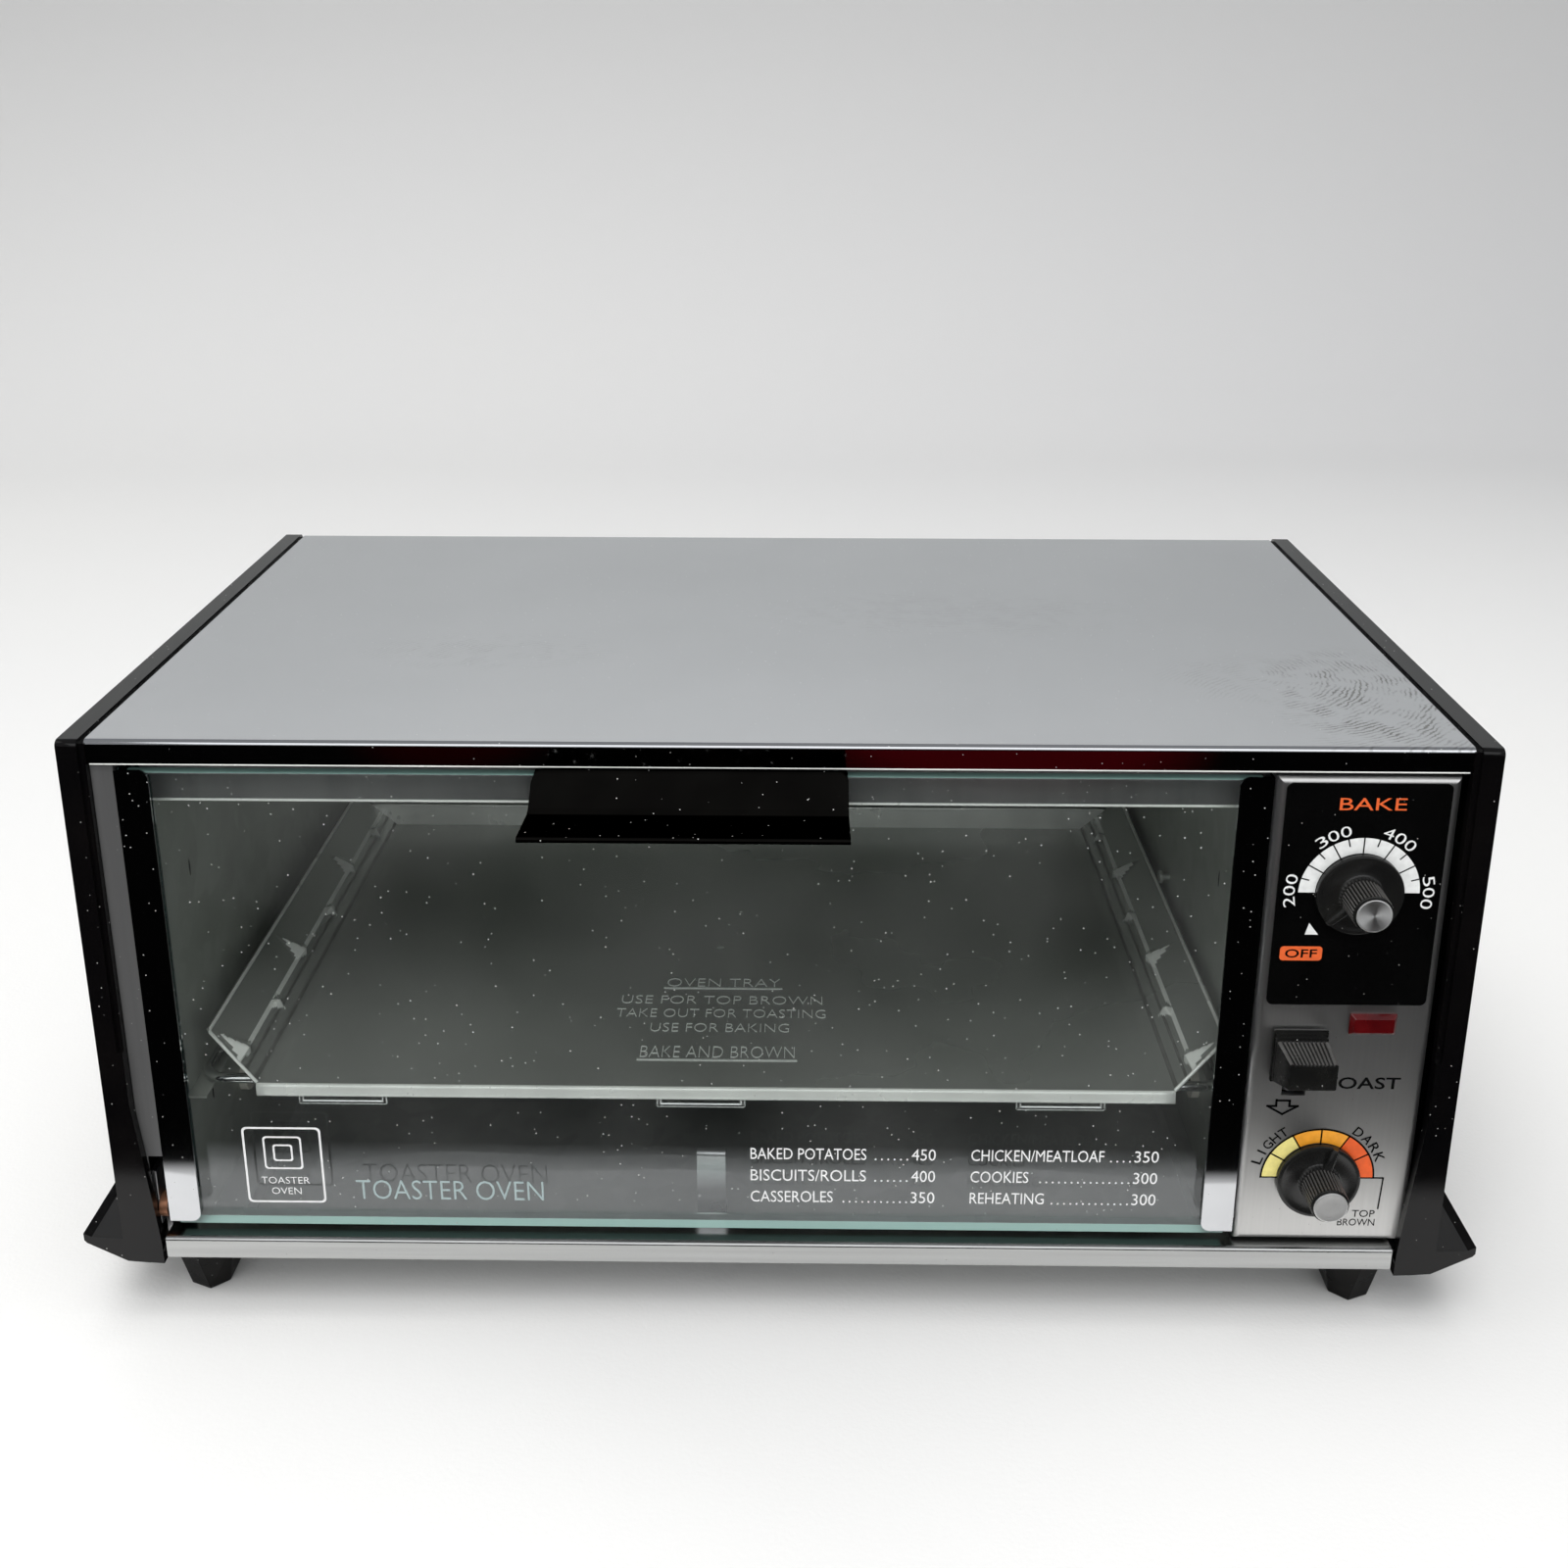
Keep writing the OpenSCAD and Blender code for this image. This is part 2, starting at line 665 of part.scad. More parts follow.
// Brushed steel control panel, folded back all round
module control_panel() color([0.68, 0.68, 0.67]) place() difference() {
  panel_shell(0);
  panel_shell(sheet);
  block([panel_left - 1, panel_back, panel_bottom - 1],
        [panel_right + 1, panel_back + 20, panel_top_z + 1]);
  bar_y(0, 8, panel_mid, bake_z, neck_r + 0.4);
  bar_y(0, 8, toast_x, toast_z, neck_r + 0.4);
  block([lever_x - slot_w / 2, 0, slot_bottom], [lever_x + slot_w / 2, 8, slot_top]);
  block([lens_x - 6.9, 0, lens_z - 3.4], [lens_x + 6.9, 8, lens_z + 3.4]);
  bar_x(panel_left - 1, panel_left + 2, hinge_y, hinge_z, hinge_r + 0.6);
}

// Black plate behind the bake dial
module dial_overlay() color([0.03, 0.03, 0.03]) place() difference() {
  along_y(panel_front - overlay_t, panel_front)
    rounded([panel_mid - 24.2, 119], [panel_mid + 24.2, 192.6], 2);
  bar_y(0, 8, panel_mid, bake_z, neck_r + 0.4);
}

// Red lens with bevelled edges
module indicator_lens() color([0.6, 0.06, 0.05]) place() {
  hull() {
    block([lens_x - 7.2, panel_front - 0.5, lens_z - 3.6],
          [lens_x + 7.2, panel_front - 0.02, lens_z + 3.6]);
    block([lens_x - 6, panel_front - 1.8, lens_z - 2.4],
          [lens_x + 6, panel_front - 1.7, lens_z + 2.4]);
  }
  block([lens_x - 6.7, panel_front - 0.1, lens_z - 3.2],
        [lens_x + 6.7, panel_front + 2.6, lens_z + 3.2]);
}

module neon_lamp() color([0.9, 0.6, 0.4]) place() {
  bar_y(panel_front + 3, panel_front + 14, lens_x, lens_z, 2.4);
  for (s = [-1, 1]) bar_y(panel_front + 13, panel_front + 20, lens_x + s, lens_z, 0.4);
}

// Switch body with a bushing that comes through the panel
module control_body(x, z, half_w, half_h, y0, y1) {
  difference() {
    union() {
      block([x - half_w, y0, z - half_h], [x + half_w, y1, z + half_h]);
      bar_y(1.6, y0 + 1, x, z, neck_r);
      bar_y(panel_front + sheet + 0.1, panel_front + sheet + 2, x, z, 7.4);
    }
    bar_y(0, y1 - 4, x, z, shaft_bore);
  }
}
module thermostat_body() color([0.35, 0.3, 0.22]) place()
  control_body(panel_mid, bake_z, 17, 15, 14, thermostat_back);
module toast_timer_body() color([0.3, 0.3, 0.3]) place()
  control_body(toast_x, toast_z, 16, 14, 16, timer_back);

module shaft(x, z, back) {
  bar_y(-8, back, x, z, shaft_r);
}
module thermostat_shaft() color([0.6, 0.6, 0.6]) place()
  shaft(panel_mid, bake_z, thermostat_back - 4.2);
module timer_shaft() color([0.6, 0.6, 0.6]) place() shaft(toast_x, toast_z, timer_back - 4.2);

// Dial: thin skirt with a pointer rib, and a round grip
module dial(x, z, pointer) {
  translate([x, 0, z]) difference() {
    union() {
      bar_y(dial_back - 1.8, dial_back, 0, 0, skirt_r);
      bar_y(dial_front, dial_back - 1, 0, 0, grip_r);
      rotate([0, -pointer, 0])
        block([grip_r - 0.6, dial_back - 3.2, -0.8], [skirt_r - 0.4, dial_back - 1, 0.8]);
    }
    bar_y(-8.1, dial_back + 1, 0, 0, shaft_r);
    bar_y(0.9, dial_back + 1, 0, 0, neck_r + 0.4);
  }
}
module bake_dial() color([0.05, 0.05, 0.05]) place() dial(panel_mid, bake_z, 225);
module toast_dial() color([0.05, 0.05, 0.05]) place() dial(toast_x, toast_z, 72);

// Spun metal cap on the front of a dial's grip
module dial_cap(x, z) {
  bar_y(dial_tip, dial_front, x, z, grip_r - 0.8);
}
module bake_dial_cap() color([0.8, 0.8, 0.8]) place() dial_cap(panel_mid, bake_z);
module toast_dial_cap() color([0.8, 0.8, 0.8]) place() dial_cap(toast_x, toast_z);

// Slotted plate behind the panel, with the seat of the return spring
module lever_guide() color([0.2, 0.2, 0.2]) place() difference() {
  union() {
    block([lever_x - 9, panel_front + sheet + 0.1, spring_seat_z - 1.2],
          [lever_x + 9, panel_front + sheet + 1.1, 116]);
    block([lever_x - 7, panel_front + sheet + 0.1, spring_seat_z - 1.2],
          [lever_x + 7, 13.4, spring_seat_z]);
  }
  block([lever_x - slot_w / 2, 0, slot_bottom], [lever_x + slot_w / 2, 8, slot_top]);
}

// Black toast lever: a stepped wedge with a stem through the slot
module toast_lever() color([0.05, 0.05, 0.05]) place() {
  hull() {
    block([lever_x - 8.3, 1.6, lever_z - 8.8], [lever_x + 8.3, 2.2, lever_z + 9.4]);
    block([lever_x - 7.1, -12.6, lever_z - 2.2], [lever_x + 7.1, -12.5, lever_z + 6.6]);
  }
  block([lever_x - 2.9, 2, lever_z - 4], [lever_x + 2.9, 5.6, lever_z + 4.4]);
}

// Steel slide behind the guide, carried by the lever's stem
module lever_slide() color([0.55, 0.55, 0.55]) place() {
  block([lever_x - 8, 5.6, slide_foot_z], [lever_x + 8, 6.8, lever_z + 12]);
  block([lever_x - 6, 5.6, slide_foot_z], [lever_x + 6, 13, slide_foot_z + 1.2]);
}

// Return spring: close rings between the seat and the slide's foot
spring_turns = 6;
module lever_spring() color([0.6, 0.6, 0.6]) place() {
  pitch = (slide_foot_z - spring_seat_z - 1.2) / (spring_turns - 1);
  for (i = [0 : spring_turns - 1])
    translate([lever_x, 10, spring_seat_z + 0.6 + i * pitch])
      rotate_extrude() translate([2.3, 0]) circle(0.55, $fn = 16);
  translate([lever_x - 2.3, 10, spring_seat_z + 0.1])
    cylinder(h = slide_foot_z - spring_seat_z - 0.2, r = 0.3, $fn = 16);
}

// ---- Wiring side ----

module terminal_block() color([0.75, 0.72, 0.62]) place() {
  block([terminal_x - 15, terminal_y - 7, base_z + sheet],
        [terminal_x + 15, terminal_y + 7, terminal_top]);
  for (s = [-1, 1])
    translate([terminal_x + s * 8, terminal_y, terminal_top - 0.1])
      cylinder(h = 1.8, r = 3.2);
}

// Insulated leads from the terminals to the switches and the elements
module internal_wiring() color([0.75, 0.72, 0.68]) place() {
  screw_top = terminal_top + 1.7;
  element_y = element_ys[1];
  wire([[terminal_x - 8, terminal_y, screw_top], [terminal_x - 8, terminal_y, bake_z - 7],
        [terminal_x - 8, thermostat_back, bake_z - 7]], 1.3);
  wire([[terminal_x + 8, terminal_y, screw_top], [terminal_x + 8, terminal_y, toast_z + 4],
        [terminal_x + 8, timer_back, toast_z + 4]], 1.3);
  wire([[terminal_x, element_y, terminal_top], [terminal_x, element_y, upper_element_z],
        [element_right + 5, element_y, upper_element_z]], 1.3);
}

// Bush in the back panel where the power cord comes out
module cord_bushing() color([0.1, 0.1, 0.1]) place() difference() {
  union() {
    bar_y(rear_y - 3.4, rear_y + sheet + 0.2, inlet_x, inlet_z, 6.5);
    bar_y(rear_y + sheet, body_d, inlet_x, inlet_z, 8.5);
    bar_y(rear_y - 3.4, rear_y - 0.1, inlet_x, inlet_z, 7.6);
  }
  bar_y(rear_y - 5, body_d + 2, inlet_x, inlet_z, inlet_r);
}

// ---- Crumb tray ----

module crumb_tray() color([0.6, 0.61, 0.6]) place() difference() {
  union() {
    difference() {
      block([crumb_left, crumb_front, base_z],
            [crumb_right, crumb_rear, base_z + sheet + crumb_depth]);
      block([crumb_left + sheet, crumb_front + sheet, base_z + sheet],
            [crumb_right - sheet, crumb_rear - sheet, base_z + crumb_depth + 5]);
    }
    for (x = knuckle_xs) {
      block([x - knuckle_w / 2, crumb_rear - sheet, base_z + 1],
            [x + knuckle_w / 2, crumb_pin_y, crumb_pin_z + 1]);
      bar_x(x - knuckle_w / 2, x + knuckle_w / 2, crumb_pin_y, crumb_pin_z, knuckle_r);
    }
  }
  for (x = knuckle_xs)
    bar_x(x - knuckle_w, x + knuckle_w, crumb_pin_y, crumb_pin_z, crumb_pin_r + 0.06);
  translate([latch_x, latch_rivet_y, base_z - 1]) cylinder(h = 3, r = 1.6);
}

// Spring tab that clicks the tray shut, with a finger grip below the rail
module crumb_tray_latch() color([0.66, 0.68, 0.66]) place() {
  half = 4.7;
  block([latch_x - half, 19, base_z + sheet], [latch_x + half, 30, base_z + 2 * sheet]);
  block([latch_x - half, 19, base_z + sheet], [latch_x + half, 19 + sheet, 50]);
  bar_x(latch_x - half, latch_x + half, 20.6, 50, 1.6);
  block([latch_x - 11, 7, base_z - 1.2], [latch_x + 11, 30, base_z - 0.2]);
  block([latch_x - 11, 7, base_z - 4], [latch_x + 11, 8, base_z - 0.2]);
  // rivet through the tray's floor
  translate([latch_x, latch_rivet_y, base_z - 0.5]) cylinder(h = 2, r = 1.5);
}

module crumb_tray_pin() color([0.6, 0.6, 0.6]) place()
  bar_x(lug_xs[0] - lug_w / 2 - 2, lug_xs[2] + lug_w / 2 + 2,
        crumb_pin_y, crumb_pin_z, crumb_pin_r);

// ---- Screws ----

rear_screws = [
  [-chassis_x + 8, 40], [chassis_x - 8, 40],
  [-chassis_x + 8, body_h - 44], [chassis_x - 8, body_h - 44],
  [0, 40], [0, body_h - 44]
];
module fixing_screws() color([0.7, 0.7, 0.72]) place() {
  for (p = rear_screws) {
    bar_y(rear_y - 6, rear_y + sheet + 0.1, p[0], p[1], 1.6);
    bar_y(rear_y + sheet, body_d, p[0], p[1], 3.4);
  }
  for (s = [-1, 1], y = end_screw_ys) {
    bar_x(s * (chassis_x + 2) - 4, s * (chassis_x + 2) + 4, y, end_screw_z, 1.45);
    bar_x(s * (chassis_x - 2) - 1, s * (chassis_x - 2) + 1, y, end_screw_z, 3.2);
  }
}

top_cover();
rear_panel();
left_end_panel();
right_end_panel();
base_pan();
front_left_foot();
front_right_foot();
rear_left_foot();
rear_right_foot();
bottom_rail();
left_jamb();
header_rail();
cavity_left_wall();
cavity_right_wall();
cavity_top();
cavity_back();
left_rack_guide();
right_rack_guide();
upper_front_element();
upper_rear_element();
lower_front_element();
lower_rear_element();
element_insulators();
left_hinge_bracket();
right_hinge_bracket();
left_hinge_bush();
right_hinge_bush();
door_glass();
left_door_channel();
right_door_channel();
left_hinge_pin();
right_hinge_pin();
door_handle();
handle_clip();
handle_screws();
wire_rack();
oven_tray();
control_panel();
dial_overlay();
indicator_lens();
neon_lamp();
thermostat_body();
thermostat_shaft();
bake_dial();
bake_dial_cap();
toast_timer_body();
timer_shaft();
toast_dial();
toast_dial_cap();
lever_guide();
toast_lever();
lever_slide();
lever_spring();
terminal_block();
internal_wiring();
cord_bushing();
crumb_tray();
crumb_tray_latch();
crumb_tray_pin();
fixing_screws();
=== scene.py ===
"""Looks of the toaster oven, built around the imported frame.

The oven's own measures are in millimetres until at() or MM makes metres of them. Boxes, camera,
lights and stage are in metres.
"""
import json
import math

import bmesh
import bpy
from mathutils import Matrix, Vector


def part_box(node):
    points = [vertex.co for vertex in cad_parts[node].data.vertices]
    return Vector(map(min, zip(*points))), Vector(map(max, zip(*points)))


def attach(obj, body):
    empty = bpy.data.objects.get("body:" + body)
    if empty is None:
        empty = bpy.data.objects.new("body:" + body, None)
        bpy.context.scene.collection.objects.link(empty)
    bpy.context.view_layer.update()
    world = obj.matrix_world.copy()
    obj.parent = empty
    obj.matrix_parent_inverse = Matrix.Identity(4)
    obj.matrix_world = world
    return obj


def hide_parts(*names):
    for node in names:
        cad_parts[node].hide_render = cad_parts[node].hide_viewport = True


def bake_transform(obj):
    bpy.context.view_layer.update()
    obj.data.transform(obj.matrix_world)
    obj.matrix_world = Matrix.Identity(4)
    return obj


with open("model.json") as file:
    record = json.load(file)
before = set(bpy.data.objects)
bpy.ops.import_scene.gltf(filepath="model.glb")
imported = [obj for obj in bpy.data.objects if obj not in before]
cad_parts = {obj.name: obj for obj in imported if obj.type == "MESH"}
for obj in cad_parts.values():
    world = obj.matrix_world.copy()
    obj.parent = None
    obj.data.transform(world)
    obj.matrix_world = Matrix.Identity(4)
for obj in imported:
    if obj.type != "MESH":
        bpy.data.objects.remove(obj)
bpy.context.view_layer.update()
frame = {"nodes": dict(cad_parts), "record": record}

MM = 0.001
collection = bpy.context.scene.collection
cad = frame["nodes"]

# ---- Where things are, all from the frame ----

front_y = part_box("left_end_panel")[0].y
glass_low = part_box("door_glass")[0]
overlay_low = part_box("dial_overlay")[0]
panel_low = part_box("control_panel")[0]
bake_low, bake_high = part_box("bake_dial_cap")
toast_low, toast_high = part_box("toast_dial_cap")
dial_low, dial_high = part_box("bake_dial")
lever_low, lever_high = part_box("toast_lever")
tray_low, tray_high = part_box("oven_tray")
dial_x = (bake_low.x + bake_high.x) / 2 / MM
bake_z = (bake_low.z + bake_high.z) / 2 / MM
toast_x = (toast_low.x + toast_high.x) / 2 / MM
toast_z = (toast_low.z + toast_high.z) / 2 / MM


def at(x, y, z):
    """A point in millimetres, with y counted back from the end panels' front faces."""
    return Vector((x * MM, front_y + y * MM, z * MM))


def turns(count):
    """Angles of a full turn in equal steps."""
    return [2 * math.pi * k / count for k in range(count)]


def polar(centre, radius, degrees):
    """The point at a distance and an angle from a flat centre."""
    a = math.radians(degrees)
    return centre[0] + radius * math.cos(a), centre[1] + radius * math.sin(a)


# ---- Camera at the photograph's viewing angle ----

camera = bpy.data.objects.new("camera", bpy.data.cameras.new("camera"))
camera.location = (0.00741, -0.51745, 0.39036)
camera.rotation_euler = [math.radians(a) for a in (73.5618, -0.0735, 0.7274)]
camera.data.lens = 36.4423
camera.data.sensor_width = 36
camera.data.shift_y = -0.15346
camera.data.clip_start = 0.02
collection.objects.link(camera)
bpy.context.scene.camera = camera
bpy.context.scene.view_settings.view_transform = "Standard"


# ---- Materials ----

class Graph:
    """A material's node tree with short calls for the nodes that are used again and again."""

    def __init__(self, name):
        self.material = bpy.data.materials.new(name)
        self.material.use_nodes = True
        self.tree = self.material.node_tree
        self.tree.nodes.clear()
        self.out = self.node("ShaderNodeOutputMaterial")
        self.coordinates = self.node("ShaderNodeTexCoord")

    def node(self, kind, **settings):
        made = self.tree.nodes.new(kind)
        for key, value in settings.items():
            setattr(made, key, value)
        return made

    def link(self, source, target):
        self.tree.links.new(source, target)

    def principled(self):
        """A Principled shader on the material's output."""
        made = self.node("ShaderNodeBsdfPrincipled")
        self.link(made.outputs[0], self.out.inputs["Surface"])
        return made

    def feed(self, socket, value):
        if isinstance(value, bpy.types.NodeSocket):
            self.link(value, socket)
        else:
            socket.default_value = value

    def mapping(self, stretch, offset=(0, 0, 0)):
        made = self.node("ShaderNodeMapping")
        self.link(self.coordinates.outputs["Object"], made.inputs["Vector"])
        made.inputs["Scale"].default_value = stretch
        made.inputs["Location"].default_value = offset
        return made.outputs["Vector"]

    def noise(self, scale, detail=3.0, stretch=(1, 1, 1)):
        made = self.node("ShaderNodeTexNoise")
        self.link(self.mapping(stretch), made.inputs["Vector"])
        made.inputs["Scale"].default_value = scale
        made.inputs["Detail"].default_value = detail
        return made.outputs["Fac"]

    def remap(self, value, low, high, to_low, to_high):
        made = self.node("ShaderNodeMapRange")
        self.link(value, made.inputs["Value"])
        for key, number in (("From Min", low), ("From Max", high),
                            ("To Min", to_low), ("To Max", to_high)):
            made.inputs[key].default_value = number
        return made.outputs["Result"]

    def math(self, operation, a, b=0.0):
        made = self.node("ShaderNodeMath", operation=operation)
        self.feed(made.inputs[0], a)
        self.feed(made.inputs[1], b)
        return made.outputs[0]

    def mix(self, factor, a, b):
        made = self.node("ShaderNodeMix", data_type="RGBA")
        self.feed(made.inputs[0], factor)
        self.feed(made.inputs[6], a)
        self.feed(made.inputs[7], b)
        return made.outputs[2]

    def either(self, factor, first, second):
        """One shader where the factor is 0, the other where it is 1."""
        made = self.node("ShaderNodeMixShader")
        for source, target in zip((factor, first, second), made.inputs):
            self.link(source, target)
        return made.outputs[0]

    def specks(self, scale, size):
        """1 inside small round specks, 0 elsewhere."""
        made = self.node("ShaderNodeTexVoronoi")
        self.link(self.mapping((1, 1, 1)), made.inputs["Vector"])
        made.inputs["Scale"].default_value = scale
        return self.remap(made.outputs["Distance"], size * 0.6, size, 1.0, 0.0)

    def ball(self, centre, size):
        """1 at the centre, falling to 0 at the half sizes given for X, Y and Z."""
        stretch = [1 / s for s in size]
        made = self.node("ShaderNodeTexGradient", gradient_type="SPHERICAL")
        self.link(self.mapping(stretch, [-c * s for c, s in zip(centre, stretch)]),
                  made.inputs["Vector"])
        return made.outputs["Fac"]

    def axes(self, output="Object"):
        """The X, Y and Z of a texture coordinate, as separate sockets."""
        made = self.node("ShaderNodeSeparateXYZ")
        self.link(self.coordinates.outputs[output], made.inputs[0])
        return made.outputs

    def bump(self, height, strength, depth):
        made = self.node("ShaderNodeBump")
        made.inputs["Strength"].default_value = strength
        made.inputs["Distance"].default_value = depth
        self.link(height, made.inputs["Height"])
        return made.outputs["Normal"]


def rgb(colour):
    return (*colour, 1.0)


DUST_SCALE, GRAIN_DEPTH = 320.0, 0.1 * MM


def surface(name, colour, rough, metal=0.0, other=None, scale=60.0, stretch=(1, 1, 1),
            rough_span=0.08, grain=1200.0, grain_stretch=(1, 1, 1), grain_bump=0.1,
            specular=0.5, coat=0.0, dust=0.0, dust_colour=(0.6, 0.6, 0.58), marks=None,
            edge_tint=None):
    """Principled finish: broad tone and gloss variation, fine grain bump, optional dust specks."""
    graph = Graph(name)
    shader = graph.principled()
    broad = graph.noise(scale, 4.0, stretch)
    tone = graph.mix(graph.remap(broad, 0.3, 0.7, 0.0, 1.0), rgb(colour),
                     rgb(other or [c * 0.85 for c in colour]))
    gloss = graph.remap(broad, 0.3, 0.7, rough - rough_span / 2, rough + rough_span / 2)
    if marks:
        tone, gloss = marks(graph, tone, gloss)
    if dust:
        mask = graph.specks(DUST_SCALE, dust)
        tone = graph.mix(mask, tone, rgb(dust_colour))
        gloss = graph.math("MAXIMUM", gloss, graph.math("MULTIPLY", mask, 0.8))
        if metal:
            graph.link(graph.remap(mask, 0.0, 1.0, metal, 0.0), shader.inputs["Metallic"])
    graph.link(tone, shader.inputs["Base Color"])
    graph.link(gloss, shader.inputs["Roughness"])
    if not dust:
        shader.inputs["Metallic"].default_value = metal
    shader.inputs["Specular IOR Level"].default_value = specular
    shader.inputs["Coat Weight"].default_value = coat
    shader.inputs["Coat Roughness"].default_value = 0.06
    if edge_tint:
        shader.inputs["Specular Tint"].default_value = rgb(edge_tint)
    fine = graph.noise(grain, 2.0, grain_stretch)
    graph.link(graph.bump(fine, grain_bump, GRAIN_DEPTH), shader.inputs["Normal"])
    return graph.material


def cover_marks(graph, tone, gloss):
    """A wiped patch of curved hair lines near the right front corner and faint ones elsewhere."""
    for centre, size, turn_about, weight in (
            (at(184, 38, 204), (0.036, 0.052, 0.03), at(150, 62, 204), 1.0),
            (at(150, 58, 204), (0.03, 0.026, 0.02), at(168, 20, 204), 0.22),
            (at(-98, 78, 204), (0.05, 0.02, 0.02), at(-60, 20, 204), 0.25),
            (at(60, 120, 204), (0.09, 0.03, 0.02), at(60, -80, 204), 0.2)):
        arcs = graph.node("ShaderNodeTexWave", wave_type="RINGS", rings_direction="Z")
        graph.link(graph.mapping((1, 1, 1), -turn_about), arcs.inputs["Vector"])
        for key, number in (("Scale", 190.0), ("Distortion", 9.0), ("Detail", 4.0),
                            ("Detail Scale", 0.6), ("Detail Roughness", 0.7)):
            arcs.inputs[key].default_value = number
        lines = graph.math("MULTIPLY", graph.remap(arcs.outputs["Fac"], 0.45, 0.95, 0.0, 1.0),
                           graph.remap(graph.noise(150.0, 3.0), 0.42, 0.62, 0.0, 1.0))
        near = graph.remap(graph.ball(centre, size), 0.0, 0.5, 0.0, weight)
        patch = graph.math("MULTIPLY", near, lines)
        tone = graph.mix(patch, tone, rgb((0.27, 0.27, 0.26)))
        gloss = graph.math("ADD", gloss, graph.math("MULTIPLY", patch, 0.2))
    return tone, gloss


def spangle(graph, tone, gloss):
    """The faint crystal patches of galvanised or tinned sheet."""
    cells = graph.node("ShaderNodeTexVoronoi")
    graph.link(graph.mapping((1, 1, 1)), cells.inputs["Vector"])
    cells.inputs["Scale"].default_value = 140.0
    patch = graph.remap(cells.outputs["Color"], 0.0, 1.0, 0.0, 0.22)
    return graph.mix(patch, tone, rgb((0.72, 0.74, 0.72))), gloss


PANE_SHINE = 0.085  # share of light that the pane mirrors, seen face on


def door_pane():
    """Clear pane, tinted a little, with a teal edge, a thin film and dust specks."""
    graph = Graph("door_pane")
    clear = graph.node("ShaderNodeBsdfTransparent")
    clear.inputs["Color"].default_value = (0.972, 0.985, 0.98, 1)
    gloss = graph.node("ShaderNodeBsdfGlossy")
    gloss.inputs["Roughness"].default_value = 0.0
    gloss.inputs["Color"].default_value = (0.95, 0.97, 1.0, 1)
    weight = graph.node("ShaderNodeLayerWeight")
    weight.inputs["Blend"].default_value = 0.5
    glancing = graph.math("POWER", weight.outputs["Facing"], 5.0)
    pane = graph.either(graph.remap(glancing, 0.0, 1.0, PANE_SHINE, 1.0), clear.outputs[0],
                        gloss.outputs[0])
    dust = graph.node("ShaderNodeBsdfDiffuse")
    dust.inputs["Color"].default_value = (0.75, 0.76, 0.74, 1)
    specks = graph.specks(260.0, 0.075)
    film = graph.remap(graph.noise(14.0, 4.0), 0.35, 0.75, 0.0, 0.025)
    mask = graph.math("MAXIMUM", graph.math("MULTIPLY", specks, 0.6), film)
    dusty = graph.either(mask, pane, dust.outputs[0])
    edge = graph.node("ShaderNodeBsdfPrincipled")
    edge.inputs["Base Color"].default_value = (0.34, 0.55, 0.50, 1)
    edge.inputs["Roughness"].default_value = 0.15
    facing = graph.math("ABSOLUTE", graph.axes("Normal")["Y"])
    whole = graph.either(graph.math("GREATER_THAN", facing, 0.5), edge.outputs[0], dusty)
    graph.link(whole, graph.out.inputs["Surface"])
    return graph.material


